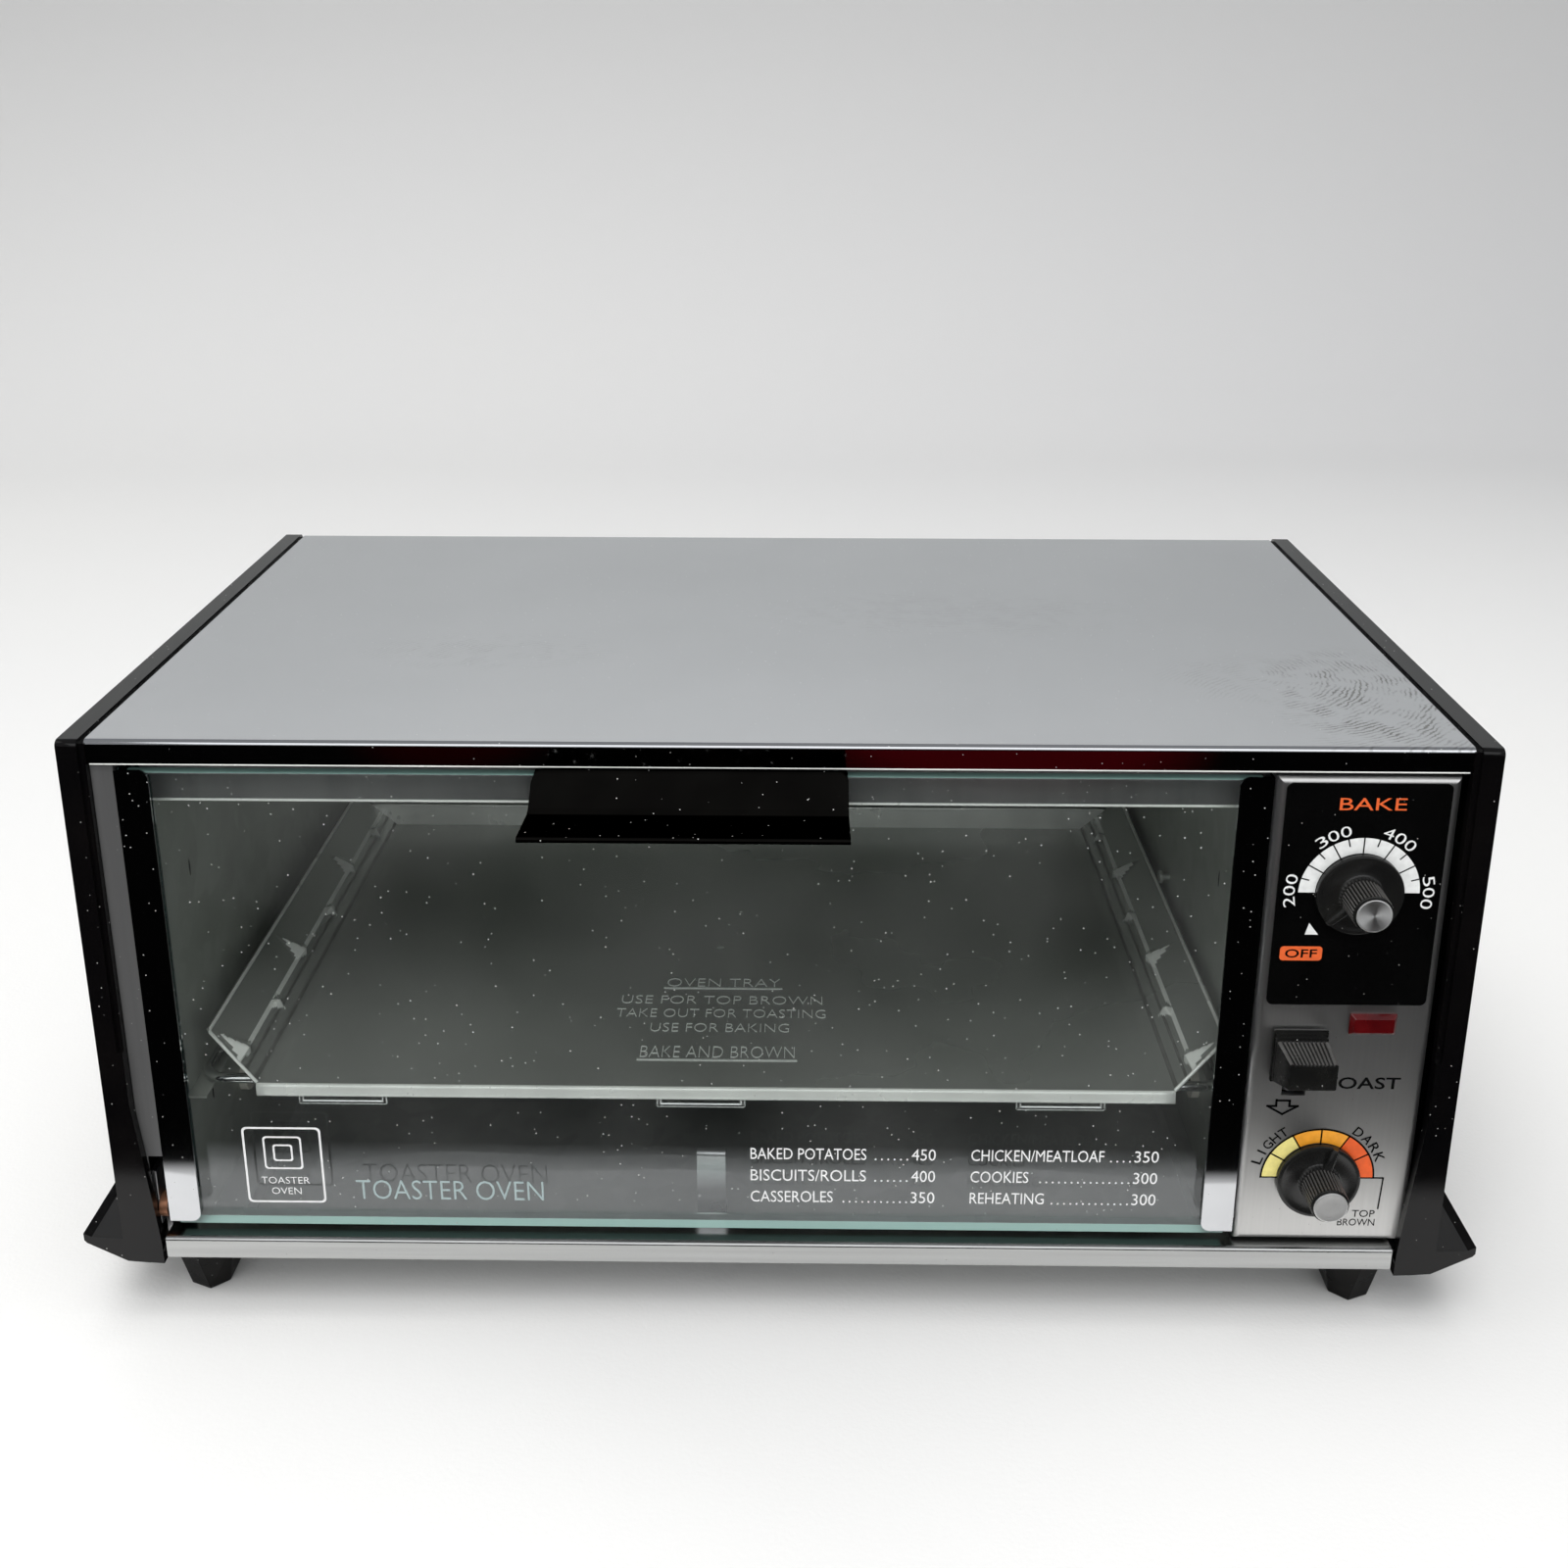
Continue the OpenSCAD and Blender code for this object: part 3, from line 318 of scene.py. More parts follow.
BRUSH_X = (0.02, 1.0, 1.0)
BRUSH_Z = (1.0, 1.0, 0.03)
finish = {name: surface(name, *tones, **detail) for name, tones, detail in (
    ("chrome_cover", ((0.66, 0.67, 0.69), 0.07, 1.0, (0.62, 0.63, 0.65)),
     dict(scale=12.0, rough_span=0.04, grain=2600.0, grain_stretch=(0.05, 1.0, 1.0),
          grain_bump=0.03, dust=0.05, marks=cover_marks)),
    ("galvanised_steel", ((0.46, 0.47, 0.46), 0.42, 0.9),
     dict(scale=40.0, rough_span=0.12, grain=1500.0, grain_bump=0.1, marks=spangle)),
    ("cavity_steel", ((0.40, 0.42, 0.38), 0.38, 0.45, (0.34, 0.36, 0.32)),
     dict(scale=18.0, rough_span=0.14, grain=900.0, grain_bump=0.05, dust=0.04, marks=spangle)),
    ("black_moulding", ((0.0015, 0.0015, 0.0018), 0.10, 0.0, (0.0035, 0.003, 0.003)),
     dict(scale=30.0, grain=700.0, grain_bump=0.06, dust=0.06, specular=0.3)),
    ("bright_rail", ((0.54, 0.545, 0.54), 0.20, 1.0, (0.47, 0.475, 0.47)),
     dict(scale=500.0, stretch=BRUSH_X, rough_span=0.06, grain=2500.0, grain_stretch=BRUSH_X,
          grain_bump=0.15, dust=0.05, dust_colour=(0.25, 0.25, 0.25))),
    ("door_trim", ((0.72, 0.73, 0.75), 0.06, 1.0),
     dict(scale=25.0, rough_span=0.05, grain=1800.0, grain_stretch=BRUSH_Z, grain_bump=0.03,
          dust=0.07)),
    ("rack_wire", ((0.78, 0.79, 0.78), 0.16, 1.0),
     dict(scale=120.0, rough_span=0.1, grain=1500.0, grain_bump=0.12)),
    ("tray_steel", ((0.42, 0.43, 0.405), 0.27, 0.6, (0.385, 0.40, 0.375)),
     dict(scale=7.0, rough_span=0.04, grain_stretch=(0.2, 1.0, 1.0), grain_bump=0.006, dust=0.05)),
    ("rod_sheath", ((0.10, 0.09, 0.085), 0.42, 0.8, (0.16, 0.12, 0.09)),
     dict(scale=30.0, rough_span=0.2, grain=1500.0, grain_bump=0.3)),
    ("ceramic", ((0.80, 0.77, 0.69), 0.55),
     dict(grain=900.0, grain_bump=0.2)),
    ("panel_face", ((0.75, 0.745, 0.73), 0.38, 1.0, (0.72, 0.715, 0.70)),
     dict(scale=900.0, stretch=BRUSH_Z, rough_span=0.03, grain=1500.0, grain_stretch=BRUSH_Z,
          grain_bump=0.05, dust=0.05, dust_colour=(0.3, 0.3, 0.29))),
    ("overlay_black", ((0.001, 0.001, 0.001), 0.16, 0.0, (0.002, 0.002, 0.002)),
     dict(scale=40.0, rough_span=0.06, grain=1500.0, grain_bump=0.06, dust=0.05)),
    ("red_lens", ((0.085, 0.003, 0.004), 0.10, 0.0, (0.05, 0.001, 0.002)),
     dict(scale=160.0, rough_span=0.04, grain=900.0, grain_bump=0.06, coat=0.6)),
    ("lamp_glass", ((0.75, 0.42, 0.22), 0.10, 0.0),
     dict(scale=200.0, grain=900.0, grain_bump=0.05, coat=0.5)),
    ("knob_black", ((0.007, 0.007, 0.007), 0.24, 0.0, (0.011, 0.011, 0.010)),
     dict(scale=90.0, rough_span=0.1, grain=2200.0, grain_bump=0.15, dust=0.04)),
    ("knob_cap", ((0.82, 0.82, 0.81), 0.26, 1.0),
     dict(scale=400.0, grain=3000.0, grain_bump=0.1)),
    ("plain_steel", ((0.58, 0.58, 0.59), 0.32, 1.0),
     dict(scale=80.0, rough_span=0.14, grain=1800.0, grain_bump=0.2)),
    ("copper_bush", ((0.42, 0.20, 0.11), 0.34, 0.8, (0.24, 0.11, 0.07)),
     dict(scale=220.0, rough_span=0.2, grain=1400.0, grain_bump=0.35)),
    ("switch_body", ((0.16, 0.11, 0.07), 0.5, 0.0),
     dict(scale=90.0, grain=1400.0, grain_bump=0.3)),
    ("lead_insulation", ((0.72, 0.69, 0.62), 0.6, 0.0),
     dict(scale=300.0, grain=3000.0, grain_bump=0.4)),
    ("black_bush", ((0.02, 0.02, 0.02), 0.45, 0.0),
     dict(scale=150.0, grain=1600.0, grain_bump=0.25)),
    ("dull_steel", ((0.145, 0.145, 0.145), 0.46, 0.4, (0.115, 0.115, 0.115)),
     dict(scale=200.0, stretch=BRUSH_Z, rough_span=0.06, grain=2400.0, grain_bump=0.15,
          dust=0.05)),
    # Black gloss with little shine at a glancing angle: a dark metal with a dark edge tint
    ("handle_black", ((0.014, 0.013, 0.012), 0.16, 1.0, (0.020, 0.019, 0.017)),
     dict(rough_span=0.10, grain=900.0, grain_bump=0.08, dust=0.07, edge_tint=(0.02, 0.02, 0.02))),
    ("foot_black", ((0.022, 0.022, 0.022), 0.30, 1.0, (0.030, 0.029, 0.028)),
     dict(rough_span=0.12, grain=900.0, dust=0.06, edge_tint=(0.5, 0.5, 0.5))),
)}
finish["door_pane"] = door_pane()

slot_of = {part["node"]: part["material_slot"] for part in frame["record"]["subparts"]}
feet = [f"{end}_{side}_foot" for end in ("front", "rear") for side in ("left", "right")]
own_finish = {"left_jamb": "dull_steel", "header_rail": "dull_steel",
              "door_handle": "handle_black", "handle_clip": "handle_black",
              **dict.fromkeys(feet, "foot_black")}
for node_name, node in cad.items():
    node.data.materials.clear()
    node.data.materials.append(finish[own_finish.get(node_name, slot_of[node_name])])

# Rounded edges on the sheet and moulded parts with flat faces: node, width in millimetres
rounding = {"left_end_panel": 0.7, "right_end_panel": 0.7, "door_handle": 0.5,
            "handle_clip": 0.25, "header_rail": 0.3, "left_jamb": 0.25,
            "door_glass": 0.35, "indicator_lens": 0.25, "crumb_tray_latch": 0.25,
            "cavity_left_wall": 0.2, "cavity_right_wall": 0.2, "cavity_back": 0.2,
            "left_rack_guide": 0.2, "right_rack_guide": 0.2, "base_pan": 0.25,
            "left_hinge_bracket": 0.2, "right_hinge_bracket": 0.2, **dict.fromkeys(feet, 0.6)}
for node_name, width in rounding.items():
    weld = cad[node_name].modifiers.new("weld", "WELD")
    weld.merge_threshold = 0.01 * MM
    bevel = cad[node_name].modifiers.new("bevel", "BEVEL")
    bevel.width = width * MM
    bevel.segments = 3
    bevel.limit_method = "ANGLE"
    bevel.angle_limit = math.radians(35)
    bevel.harden_normals = True


# ---- Mesh helpers ----

def piece(name, bm, material, body, node=None, sharp=35, origin=None):
    """Turns a bmesh, in metres, into an object that rides on a body, if one is given."""
    if origin is not None:
        bmesh.ops.translate(bm, verts=bm.verts, vec=-origin)
    bmesh.ops.recalc_face_normals(bm, faces=bm.faces)
    for face in bm.faces:
        face.smooth = True
    for edge in bm.edges:
        if len(edge.link_faces) == 2:
            edge.smooth = edge.calc_face_angle(0.0) < math.radians(sharp)
    mesh = bpy.data.meshes.new(name)
    bm.to_mesh(mesh)
    bm.free()
    mesh.materials.append(material)
    made = bpy.data.objects.new(name, mesh)
    if origin is not None:
        made.location = origin
    collection.objects.link(made)
    if body:
        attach(made, body)
    if node:
        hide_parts(node)
    return made


def ring(bm, points):
    return [bm.verts.new(p) for p in points]


def skin(bm, rings, closed=True):
    """Quads between following rings of the same length."""
    for low, high in zip(rings, rings[1:]):
        count = len(low)
        for i in range(count if closed else count - 1):
            j = (i + 1) % count
            bm.faces.new((low[i], low[j], high[j], high[i]))


def solid(bm, rings):
    """A closed solid over rings of the same length, with flat ends."""
    skin(bm, rings)
    bm.faces.new(rings[0][::-1])
    bm.faces.new(rings[-1])


def tube(bm, path, radius, sides=10):
    """Round bar along a path of points, with flat ends."""
    rings = []
    for i, point in enumerate(path):
        before = path[max(i - 1, 0)]
        after = path[min(i + 1, len(path) - 1)]
        along = (after - before).normalized()
        side = along.cross(Vector((0.3, 0.1, 1.0))).normalized()
        up = side.cross(along)
        rings.append(ring(bm, [point + radius * (math.cos(a) * side + math.sin(a) * up)
                               for a in turns(sides)]))
    solid(bm, rings)


# Heights of the ink in millimetres: the first coat, and lines printed over it
COAT, OVER = 0.04, (0.05, 0.08)


class Print:
    """Flat shapes in a surface's own plane (u across, v up, w out), in millimetres."""

    def __init__(self):
        self.bm = bmesh.new()

    def prism(self, outline, low=0.0, high=COAT):
        bottom = [self.bm.verts.new((u, v, low)) for u, v in outline]
        top = [self.bm.verts.new((u, v, high)) for u, v in outline]
        solid(self.bm, [bottom, top])

    def band(self, centre, inner, outer, start, end, low=0.0, high=COAT):
        """Part of a flat ring, angles in degrees counted from u towards v."""
        steps = max(2, int(abs(end - start) / 3))
        angles = [start + (end - start) * i / steps for i in range(steps + 1)]
        for a, b in zip(angles, angles[1:]):
            self.prism([polar(centre, r, t) for r, t in
                        ((inner, a), (outer, a), (outer, b), (inner, b))], low, high)

    def stroke(self, points, width, low=0.0, high=COAT):
        for (u0, v0), (u1, v1) in zip(points, points[1:]):
            length = math.hypot(u1 - u0, v1 - v0)
            du, dv = (u1 - u0) / length * width / 2, (v1 - v0) / length * width / 2
            self.prism([(u0 - du + dv, v0 - dv - du), (u1 + du + dv, v1 + dv - du),
                        (u1 + du - dv, v1 + dv + du), (u0 - du - dv, v0 - dv + du)], low, high)

    def text(self, words, centre, width, height, turn=0.0, thin=0.0, low=0.0, high=COAT):
        """Plain capitals, stretched to a width and a height, turned by degrees."""
        curve = bpy.data.curves.new("words", "FONT")
        curve.body = words
        curve.extrude = 0.01
        curve.offset = thin
        curve.resolution_u = 3
        holder = bpy.data.objects.new("words", curve)
        collection.objects.link(holder)
        bpy.context.view_layer.update()
        graph = bpy.context.evaluated_depsgraph_get()
        mesh = bpy.data.meshes.new_from_object(holder.evaluated_get(graph))
        bpy.data.objects.remove(holder)
        points = [v.co.copy() for v in mesh.vertices]
        left, right = min(p.x for p in points), max(p.x for p in points)
        bottom, top = min(p.y for p in points), max(p.y for p in points)
        c, s = math.cos(math.radians(turn)), math.sin(math.radians(turn))
        made = []
        for p in points:
            u = ((p.x - left) / (right - left) - 0.5) * width
            v = ((p.y - bottom) / (top - bottom) - 0.5) * height
            made.append(self.bm.verts.new((centre[0] + u * c - v * s, centre[1] + u * s + v * c,
                                           low if p.z < 0 else high)))
        for face in mesh.polygons:
            try:
                self.bm.faces.new([made[i] for i in face.vertices])
            except ValueError:
                pass
        bpy.data.meshes.remove(mesh)

    def arc_text(self, words, centre, radius, middle, pitch, width, height, thin=0.0, low=0.0,
                 high=COAT):
        """Letters set one by one along an arc, upright towards its outside."""
        for i, letter in enumerate(words):
            angle = middle + pitch * ((len(words) - 1) / 2 - i)
            wide = width * (0.22 if letter in "I1" else 1.0)
            self.text(letter, polar(centre, radius, angle), wide, height, angle - 90, thin, low,
                      high)

    def place(self, name, surface_at, flat, material, body, slot):
        """flat: the surface lies level and faces up; otherwise it stands and faces the front."""
        bmesh.ops.remove_doubles(self.bm, verts=self.bm.verts, dist=0.0004)
        for v in self.bm.verts:
            u, up, out = v.co * MM
            v.co = (u, up, surface_at + out) if flat else (u, surface_at - out, up)
        return piece(name, self.bm, material, body, sharp=20)


def ink(name, colour, specular=0.4):
    return surface(name, colour, 0.35, scale=500.0, rough_span=0.1, grain=4000.0,
                   grain_bump=0.12, specular=specular)


white_ink = ink("white_ink", (0.80, 0.81, 0.80))
grey_ink = ink("grey_ink", (0.36, 0.45, 0.45))
orange_ink = ink("orange_ink", (0.78, 0.12, 0.02))
black_ink = ink("black_ink", (0.003, 0.003, 0.003), specular=0.1)
pale_ink = ink("pale_yellow_ink", (0.86, 0.76, 0.26))
amber_ink = ink("amber_ink", (0.93, 0.38, 0.03))
red_ink = ink("orange_red_ink", (0.84, 0.12, 0.02))

# ---- Printing on the black plate and the panel ----

bake_centre = (dial_x, bake_z)
toast_centre = (toast_x, toast_z)
print_gap = 0.02 * MM
overlay_face = overlay_low.y - print_gap
panel_face = panel_low.y - print_gap

white = Print()
white.band(bake_centre, 13.0, 18.0, 0, 180)
for number, angle in (("200", 178.5), ("300", 116.5), ("400", 59.5), ("500", 0.5)):
    white.arc_text(number, bake_centre, 20.7, angle, 10.6, 3.2, 3.5, -0.004)
white.prism([(158.7, 143.0), (162.7, 143.0), (159.7, 146.9)])
white.place("bake_scale_white", overlay_face, False, white_ink, "oven_body", "overlay_black")

ticks = Print()
for angle in range(15, 180, 15):
    inner = 12.9 if angle % 30 == 0 else 15.8
    ticks.stroke([polar(bake_centre, r, angle) for r in (inner, 18.05)], 0.42, *OVER)
ticks.text("OFF", (158.15, 136.6), 9.6, 2.9, 0.0, 0.012, *OVER)
ticks.place("bake_scale_black", overlay_face, False, black_ink, "oven_body", "overlay_black")


def rounded_box(left, bottom, right, top, radius, steps=5):
    corners = ((right - radius, bottom + radius, -90), (right - radius, top - radius, 0),
               (left + radius, top - radius, 90), (left + radius, bottom + radius, 180))
    return [polar((x, y), radius, start + 90 * i / steps)
            for x, y, start in corners for i in range(steps + 1)]


orange = Print()
orange.text("BAKE", (dial_x + 1.4, 186.0), 19.6, 3.9)
orange.prism(rounded_box(151.8, 134.2, 164.5, 139.0, 1.1))
orange.place("bake_scale_orange", overlay_face, False, orange_ink, "oven_body", "overlay_black")

lines = Print()
lines.text("TOAST", (181.2, 91.2), 24.0, 4.2, thin=0.012)
lines.stroke([(155.6, 84.7), (159.7, 84.7), (159.7, 82.7), (162.3, 82.7), (157.7, 79.8),
              (152.9, 82.7), (155.6, 82.7), (155.6, 84.9)], 0.7)
lines.band(toast_centre, 17.45, 18.0, 0, 180, *OVER)
for angle in range(0, 181, 30):
    lines.stroke([polar(toast_centre, r, angle) for r in (12.6, 17.8)], 0.5, *OVER)
lines.stroke([(toast_x + 17.7, toast_z), (toast_x + 20.9, toast_z),
              (toast_x + 20.4, toast_z - 11.4)], 0.45, *OVER)
lines.arc_text("LIGHT", toast_centre, 20.3, 144, 9.0, 2.7, 3.2, 0.006)
lines.arc_text("DARK", toast_centre, 20.3, 39, 11.0, 3.0, 3.2, 0.006)
lines.text("TOP", (toast_x + 16.0, toast_z - 13.4), 7.2, 2.6)
lines.text("BROWN", (toast_x + 14.0, toast_z - 16.7), 11.8, 2.6)
lines.place("panel_print_black", panel_face, False, black_ink, "oven_body", "panel_face")

for name, start, material in (("toast_scale_pale", 120, pale_ink),
                              ("toast_scale_amber", 60, amber_ink),
                              ("toast_scale_red", 0, red_ink)):
    shade = Print()
    shade.band(toast_centre, 12.8, 17.7, start, start + 60)
    shade.place(name, panel_face, False, material, "oven_body", "panel_face")

# ---- Printing on the glass ----

glass_face = glass_low.y - print_gap
guide = Print()
ROW_TOP, ROW_STEP = 63.1, 8.0
columns = ((-8.2, 50.4, (("BAKED POTATOES", "450"), ("BISCUITS/ROLLS", "400"),
                         ("CASSEROLES", "350"))),
           (61.6, 120.7, (("CHICKEN/MEATLOAF", "350"), ("COOKIES", "300"),
                          ("REHEATING", "300"))))
letter_w, number_w, DOT_STEP = 2.62, 7.6, 2.0
for left, right, rows in columns:
    for i, (dish, heat) in enumerate(rows):
        z = ROW_TOP - ROW_STEP * i
        wide = letter_w * len(dish)
        guide.text(dish, (left + wide / 2, z), wide, 4.2)
        guide.text(heat, (right - number_w / 2, z), number_w, 4.2)
        for k in range(int((right - number_w - left - wide - 1.2) / DOT_STEP)):
            u = right - number_w - 1.4 - DOT_STEP * k
            guide.prism(rounded_box(u - 0.3, z - 2.1, u + 0.3, z - 1.5, 0.25, 2))
guide.place("glass_guide_print", glass_face, False, white_ink, "door", "door_pane")

emblem = Print()
left, bottom, right, top = -169.4, 43.0, -144.3, 71.2
middle_x = (left + right) / 2


def frame_line(sheet, box, width, radius):
    outer = rounded_box(*box, radius)
    inner = rounded_box(box[0] + width, box[1] + width, box[2] - width, box[3] - width,
                        radius - width / 2)
    for a, b, c, d in zip(outer, outer[1:] + outer[:1], inner, inner[1:] + inner[:1]):
        sheet.prism([a, b, d, c])


for side, foot, head, width, radius in ((0, 0, 0, 0.7, 1.6), (6.4, 12.6, 3.4, 0.6, 1.2),
                                        (9.4, 15.6, 6.4, 0.6, 0.9)):
    frame_line(emblem, (left + side, bottom + foot, right - side, top - head), width, radius)
emblem.text("TOASTER", (middle_x, bottom + 8.4), 15.5, 2.5, thin=-0.01)
emblem.text("OVEN", (middle_x, bottom + 4.4), 9.5, 2.5, thin=-0.01)
emblem.place("glass_emblem", glass_face, False, white_ink, "door", "door_pane")

wordmark = Print()
wordmark.text("TOASTER OVEN", (-104.4, 48.2), 60.0, 7.2, thin=-0.008)
wordmark.place("glass_wordmark", glass_face, False, grey_ink, "door", "door_pane")

# ---- Dials ----

# Painted highlight: a paler black on the rib crests of the dials and the lever, where light from
# above catches them
crest_highlight = surface("rib_crest_painted_highlight", (0.075, 0.073, 0.070), 0.3, 0.0, (0.055, 0.053, 0.051), scale=300.0,
                 rough_span=0.1, grain=2600.0, grain_bump=0.1)

GRIP_RIBS, RIB_POINTS = 34, 8
dial_back_mm = (dial_high.y - front_y) / MM
dial_tip_mm = (dial_low.y - front_y) / MM


def ribbed(bm, y, radius, depth=0.0):
    count = GRIP_RIBS * RIB_POINTS
    points = []
    for i in range(count):
        a = 2 * math.pi * i / count
        r = radius - depth * (0.5 - 0.5 * math.cos(GRIP_RIBS * a))
        points.append(Vector((r * math.cos(a), y, r * math.sin(a))))
    return ring(bm, points)


def dial(name, node, body, x, z, pointer):
    """Skirted dial with a fine-ribbed grip, a turned rim and a raised pointer."""
    bm = bmesh.new()
    back, tip = dial_back_mm, dial_tip_mm
    profile = [(0.6, back, 0), (12.7, back, 0), (13.0, back - 0.3, 0), (13.0, back - 1.3, 0),
               (12.8, back - 1.65, 0), (12.4, back - 1.8, 0), (11.6, back - 1.8, 0),
               (11.2, back - 1.6, 0), (7.0, back - 1.6, 0), (6.5, back - 1.9, 0),
               (6.2, back - 2.6, 0.1), (6.15, back - 3.4, 0.6), (6.0, tip + 0.9, 0.6),
               (5.95, tip + 0.45, 0.35), (5.8, tip + 0.12, 0), (5.6, tip, 0), (5.35, tip, 0),
               (5.25, tip + 0.12, 0), (5.25, tip + 0.5, 0), (0.6, tip + 0.5, 0)]
    solid(bm, [ribbed(bm, y, r, d) for r, y, d in profile])
    a = math.radians(pointer)
    along, side = Vector((math.cos(a), 0, math.sin(a))), Vector((-math.sin(a), 0, math.cos(a)))
    loops = []
    for r, half, high in ((5.4, 1.5, 3.6), (9.0, 1.25, 3.4), (12.2, 1.1, 3.1), (13.0, 0.8, 2.6)):
        loops.append(ring(bm, [along * r + side * s + Vector((0, y, 0)) for s, y in
                               ((-half, back - 1.2), (-half, back - high + 0.5),
                                (-half * 0.45, back - high), (half * 0.45, back - high),
                                (half, back - high + 0.5), (half, back - 1.2))]))
    solid(bm, loops)
    # The grip's rib crests take the second material, a painted highlight
    for face in bm.faces:
        middle = face.calc_center_median()
        turn = math.atan2(middle.z, middle.x) * GRIP_RIBS / (2 * math.pi)
        on_grip = tip + 0.5 < middle.y < back - 3.0 and 5.0 < math.hypot(middle.x, middle.z) < 6.4
        face.material_index = int(on_grip and abs(turn - round(turn)) < 0.2)
    for v in bm.verts:
        v.co = v.co * MM + Vector((x * MM, front_y, z * MM))
    made = piece(name, bm, finish["knob_black"], body, node, sharp=32)
    made.data.materials.append(crest_highlight)
    return made


dial("bake_dial_ribbed", "bake_dial", "bake_knob", dial_x, bake_z, 225)
dial("toast_dial_ribbed", "toast_dial", "toast_knob", toast_x, toast_z, 72)


def spun_metal(name, rough, anisotropic):
    """Metal turned on a lathe about Y: its shine runs round in rings."""
    graph = Graph(name)
    shader = graph.principled()
    broad = graph.noise(700.0, 3.0)
    graph.link(graph.mix(broad, rgb((0.93, 0.93, 0.92)), rgb((0.84, 0.84, 0.83))),
               shader.inputs["Base Color"])
    graph.link(graph.remap(broad, 0.3, 0.7, rough - 0.04, rough + 0.04),
               shader.inputs["Roughness"])
    shader.inputs["Metallic"].default_value = 1.0
    shader.inputs["Anisotropic"].default_value = anisotropic
    tangent = graph.node("ShaderNodeTangent", direction_type="RADIAL", axis="Y")
    graph.link(tangent.outputs[0], shader.inputs["Tangent"])
    rings = graph.node("ShaderNodeTexWave", wave_type="RINGS", rings_direction="Y")
    graph.link(graph.coordinates.outputs["Object"], rings.inputs["Vector"])
    rings.inputs["Scale"].default_value = 1500.0
    rings.inputs["Distortion"].default_value = 0.3
    graph.link(graph.bump(rings.outputs["Fac"], 0.12, 0.00005), shader.inputs["Normal"])
    return graph.material


def cap(name, node, body, low, high, material):
    """Dished metal cap with a rolled edge, its origin on the dial's axis."""
    bm = bmesh.new()
    radius = (high.x - low.x) / 2
    centre = Vector(((low.x + high.x) / 2, 0, (low.z + high.z) / 2))
    depth = high.y - low.y
    rings = []
    for share, rise in ((0.06, 0.0), (0.98, 0.0), (1.0, 0.12), (1.0, 0.75), (0.97, 0.93),
                        (0.92, 1.0), (0.88, 0.95), (0.5, 0.9), (0.06, 0.88)):
        rings.append(ring(bm, [Vector((radius * share * math.cos(a), high.y - depth * rise,
                                       radius * share * math.sin(a))) + centre
                               for a in turns(72)]))
    solid(bm, rings)
    return piece(name, bm, material, body, node, sharp=50,
                 origin=Vector((centre.x, (low.y + high.y) / 2, centre.z)))


cap("bake_cap_spun", "bake_dial_cap", "bake_knob", bake_low, bake_high,
    spun_metal("spun_aluminium", 0.55, 0.8))
cap("toast_cap_frosted", "toast_dial_cap", "toast_knob", toast_low, toast_high,
    spun_metal("frosted_aluminium", 0.48, 0.2))

# ---- Toast lever ----

LEVER_RIBS = 11
lever_x = (lever_low.x + lever_high.x) / 2 / MM
root_low, root_high = lever_low.z / MM, lever_high.z / MM
tip_mm = (lever_low.y - front_y) / MM
bm = bmesh.new()


def lever_loop(y, half, bottom, top, groove):
    """Cross-section of the lever: a flat underside and a top with grooves along the slope."""
    points = [(-half, bottom + 0.3), (-half + 0.3, bottom), (half - 0.3, bottom),
              (half, bottom + 0.3), (half, top - 0.3), (half - 0.5, top)]
    span = 2 * (half - 0.9)
    for i in range(LEVER_RIBS * 4 + 1):
        share = i / (LEVER_RIBS * 4)
        dip = groove * (0.5 - 0.5 * math.cos(2 * math.pi * LEVER_RIBS * share))
        points.append((half - 0.9 - span * share, top - dip))
    points += [(-half + 0.5, top), (-half, top - 0.3)]
    return ring(bm, [at(lever_x + u, y, v) for u, v in points])


# Each step of the lever, as loops: y, half width, rise of its foot, drop of its top, groove
for step in (((2.1, 8.3, 0, 0, 0), (1.3, 8.3, 0, 0, 0)),
             ((1.4, 7.9, 0.5, 0.9, 0), (0.5, 7.9, 0.6, 0.9, 0)),
             ((0.6, 7.95, 0.7, 1.8, 0), (-0.3, 7.9, 1.1, 1.8, 0)),
             ((-0.2, 7.8, 0.9, 2.4, 0), (-0.9, 7.8, 1.3, 2.5, 0), (-1.1, 7.8, 1.4, 2.5, 0.55),
              (tip_mm + 0.5, 7.15, 6.4, 2.9, 0.55), (tip_mm + 0.1, 7.1, 6.6, 3.0, 0.35),
              (tip_mm, 6.9, 6.9, 3.5, 0.1))):
    solid(bm, [lever_loop(y, half, root_low + rise, root_high - drop, groove)
               for y, half, rise, drop, groove in step])
stem_half, stem_back = 2.9, 5.6
solid(bm, [ring(bm, [at(lever_x + u, y, v) for u, v in
                     ((-stem_half, root_low + 4.8), (stem_half, root_low + 4.8),
                      (stem_half, root_high - 5), (-stem_half, root_high - 5))])
           for y in (1.9, stem_back)])
slope_back, slope_tip = root_high - 2.5, root_high - 2.9
# The crests of the lever's sloped top take the second material, a painted highlight
for face in bm.faces:
    middle = face.calc_center_median()
    y, z = (middle.y - front_y) / MM, middle.z / MM
    share = (y + 1.1) / (tip_mm + 1.6)
    if 0.05 < share < 1.0 and slope_back + (slope_tip - slope_back) * share - z < 0.2:
        face.material_index = 1
toast_lever = piece("toast_lever_ribbed", bm, surface(
    "lever_black", (0.005, 0.005, 0.005), 0.26, 0.0, (0.008, 0.008, 0.007), scale=120.0,
    rough_span=0.1, grain=1800.0, grain_bump=0.15, dust=0.06), "lever",
    "toast_lever", sharp=40)
toast_lever.data.materials.append(crest_highlight)
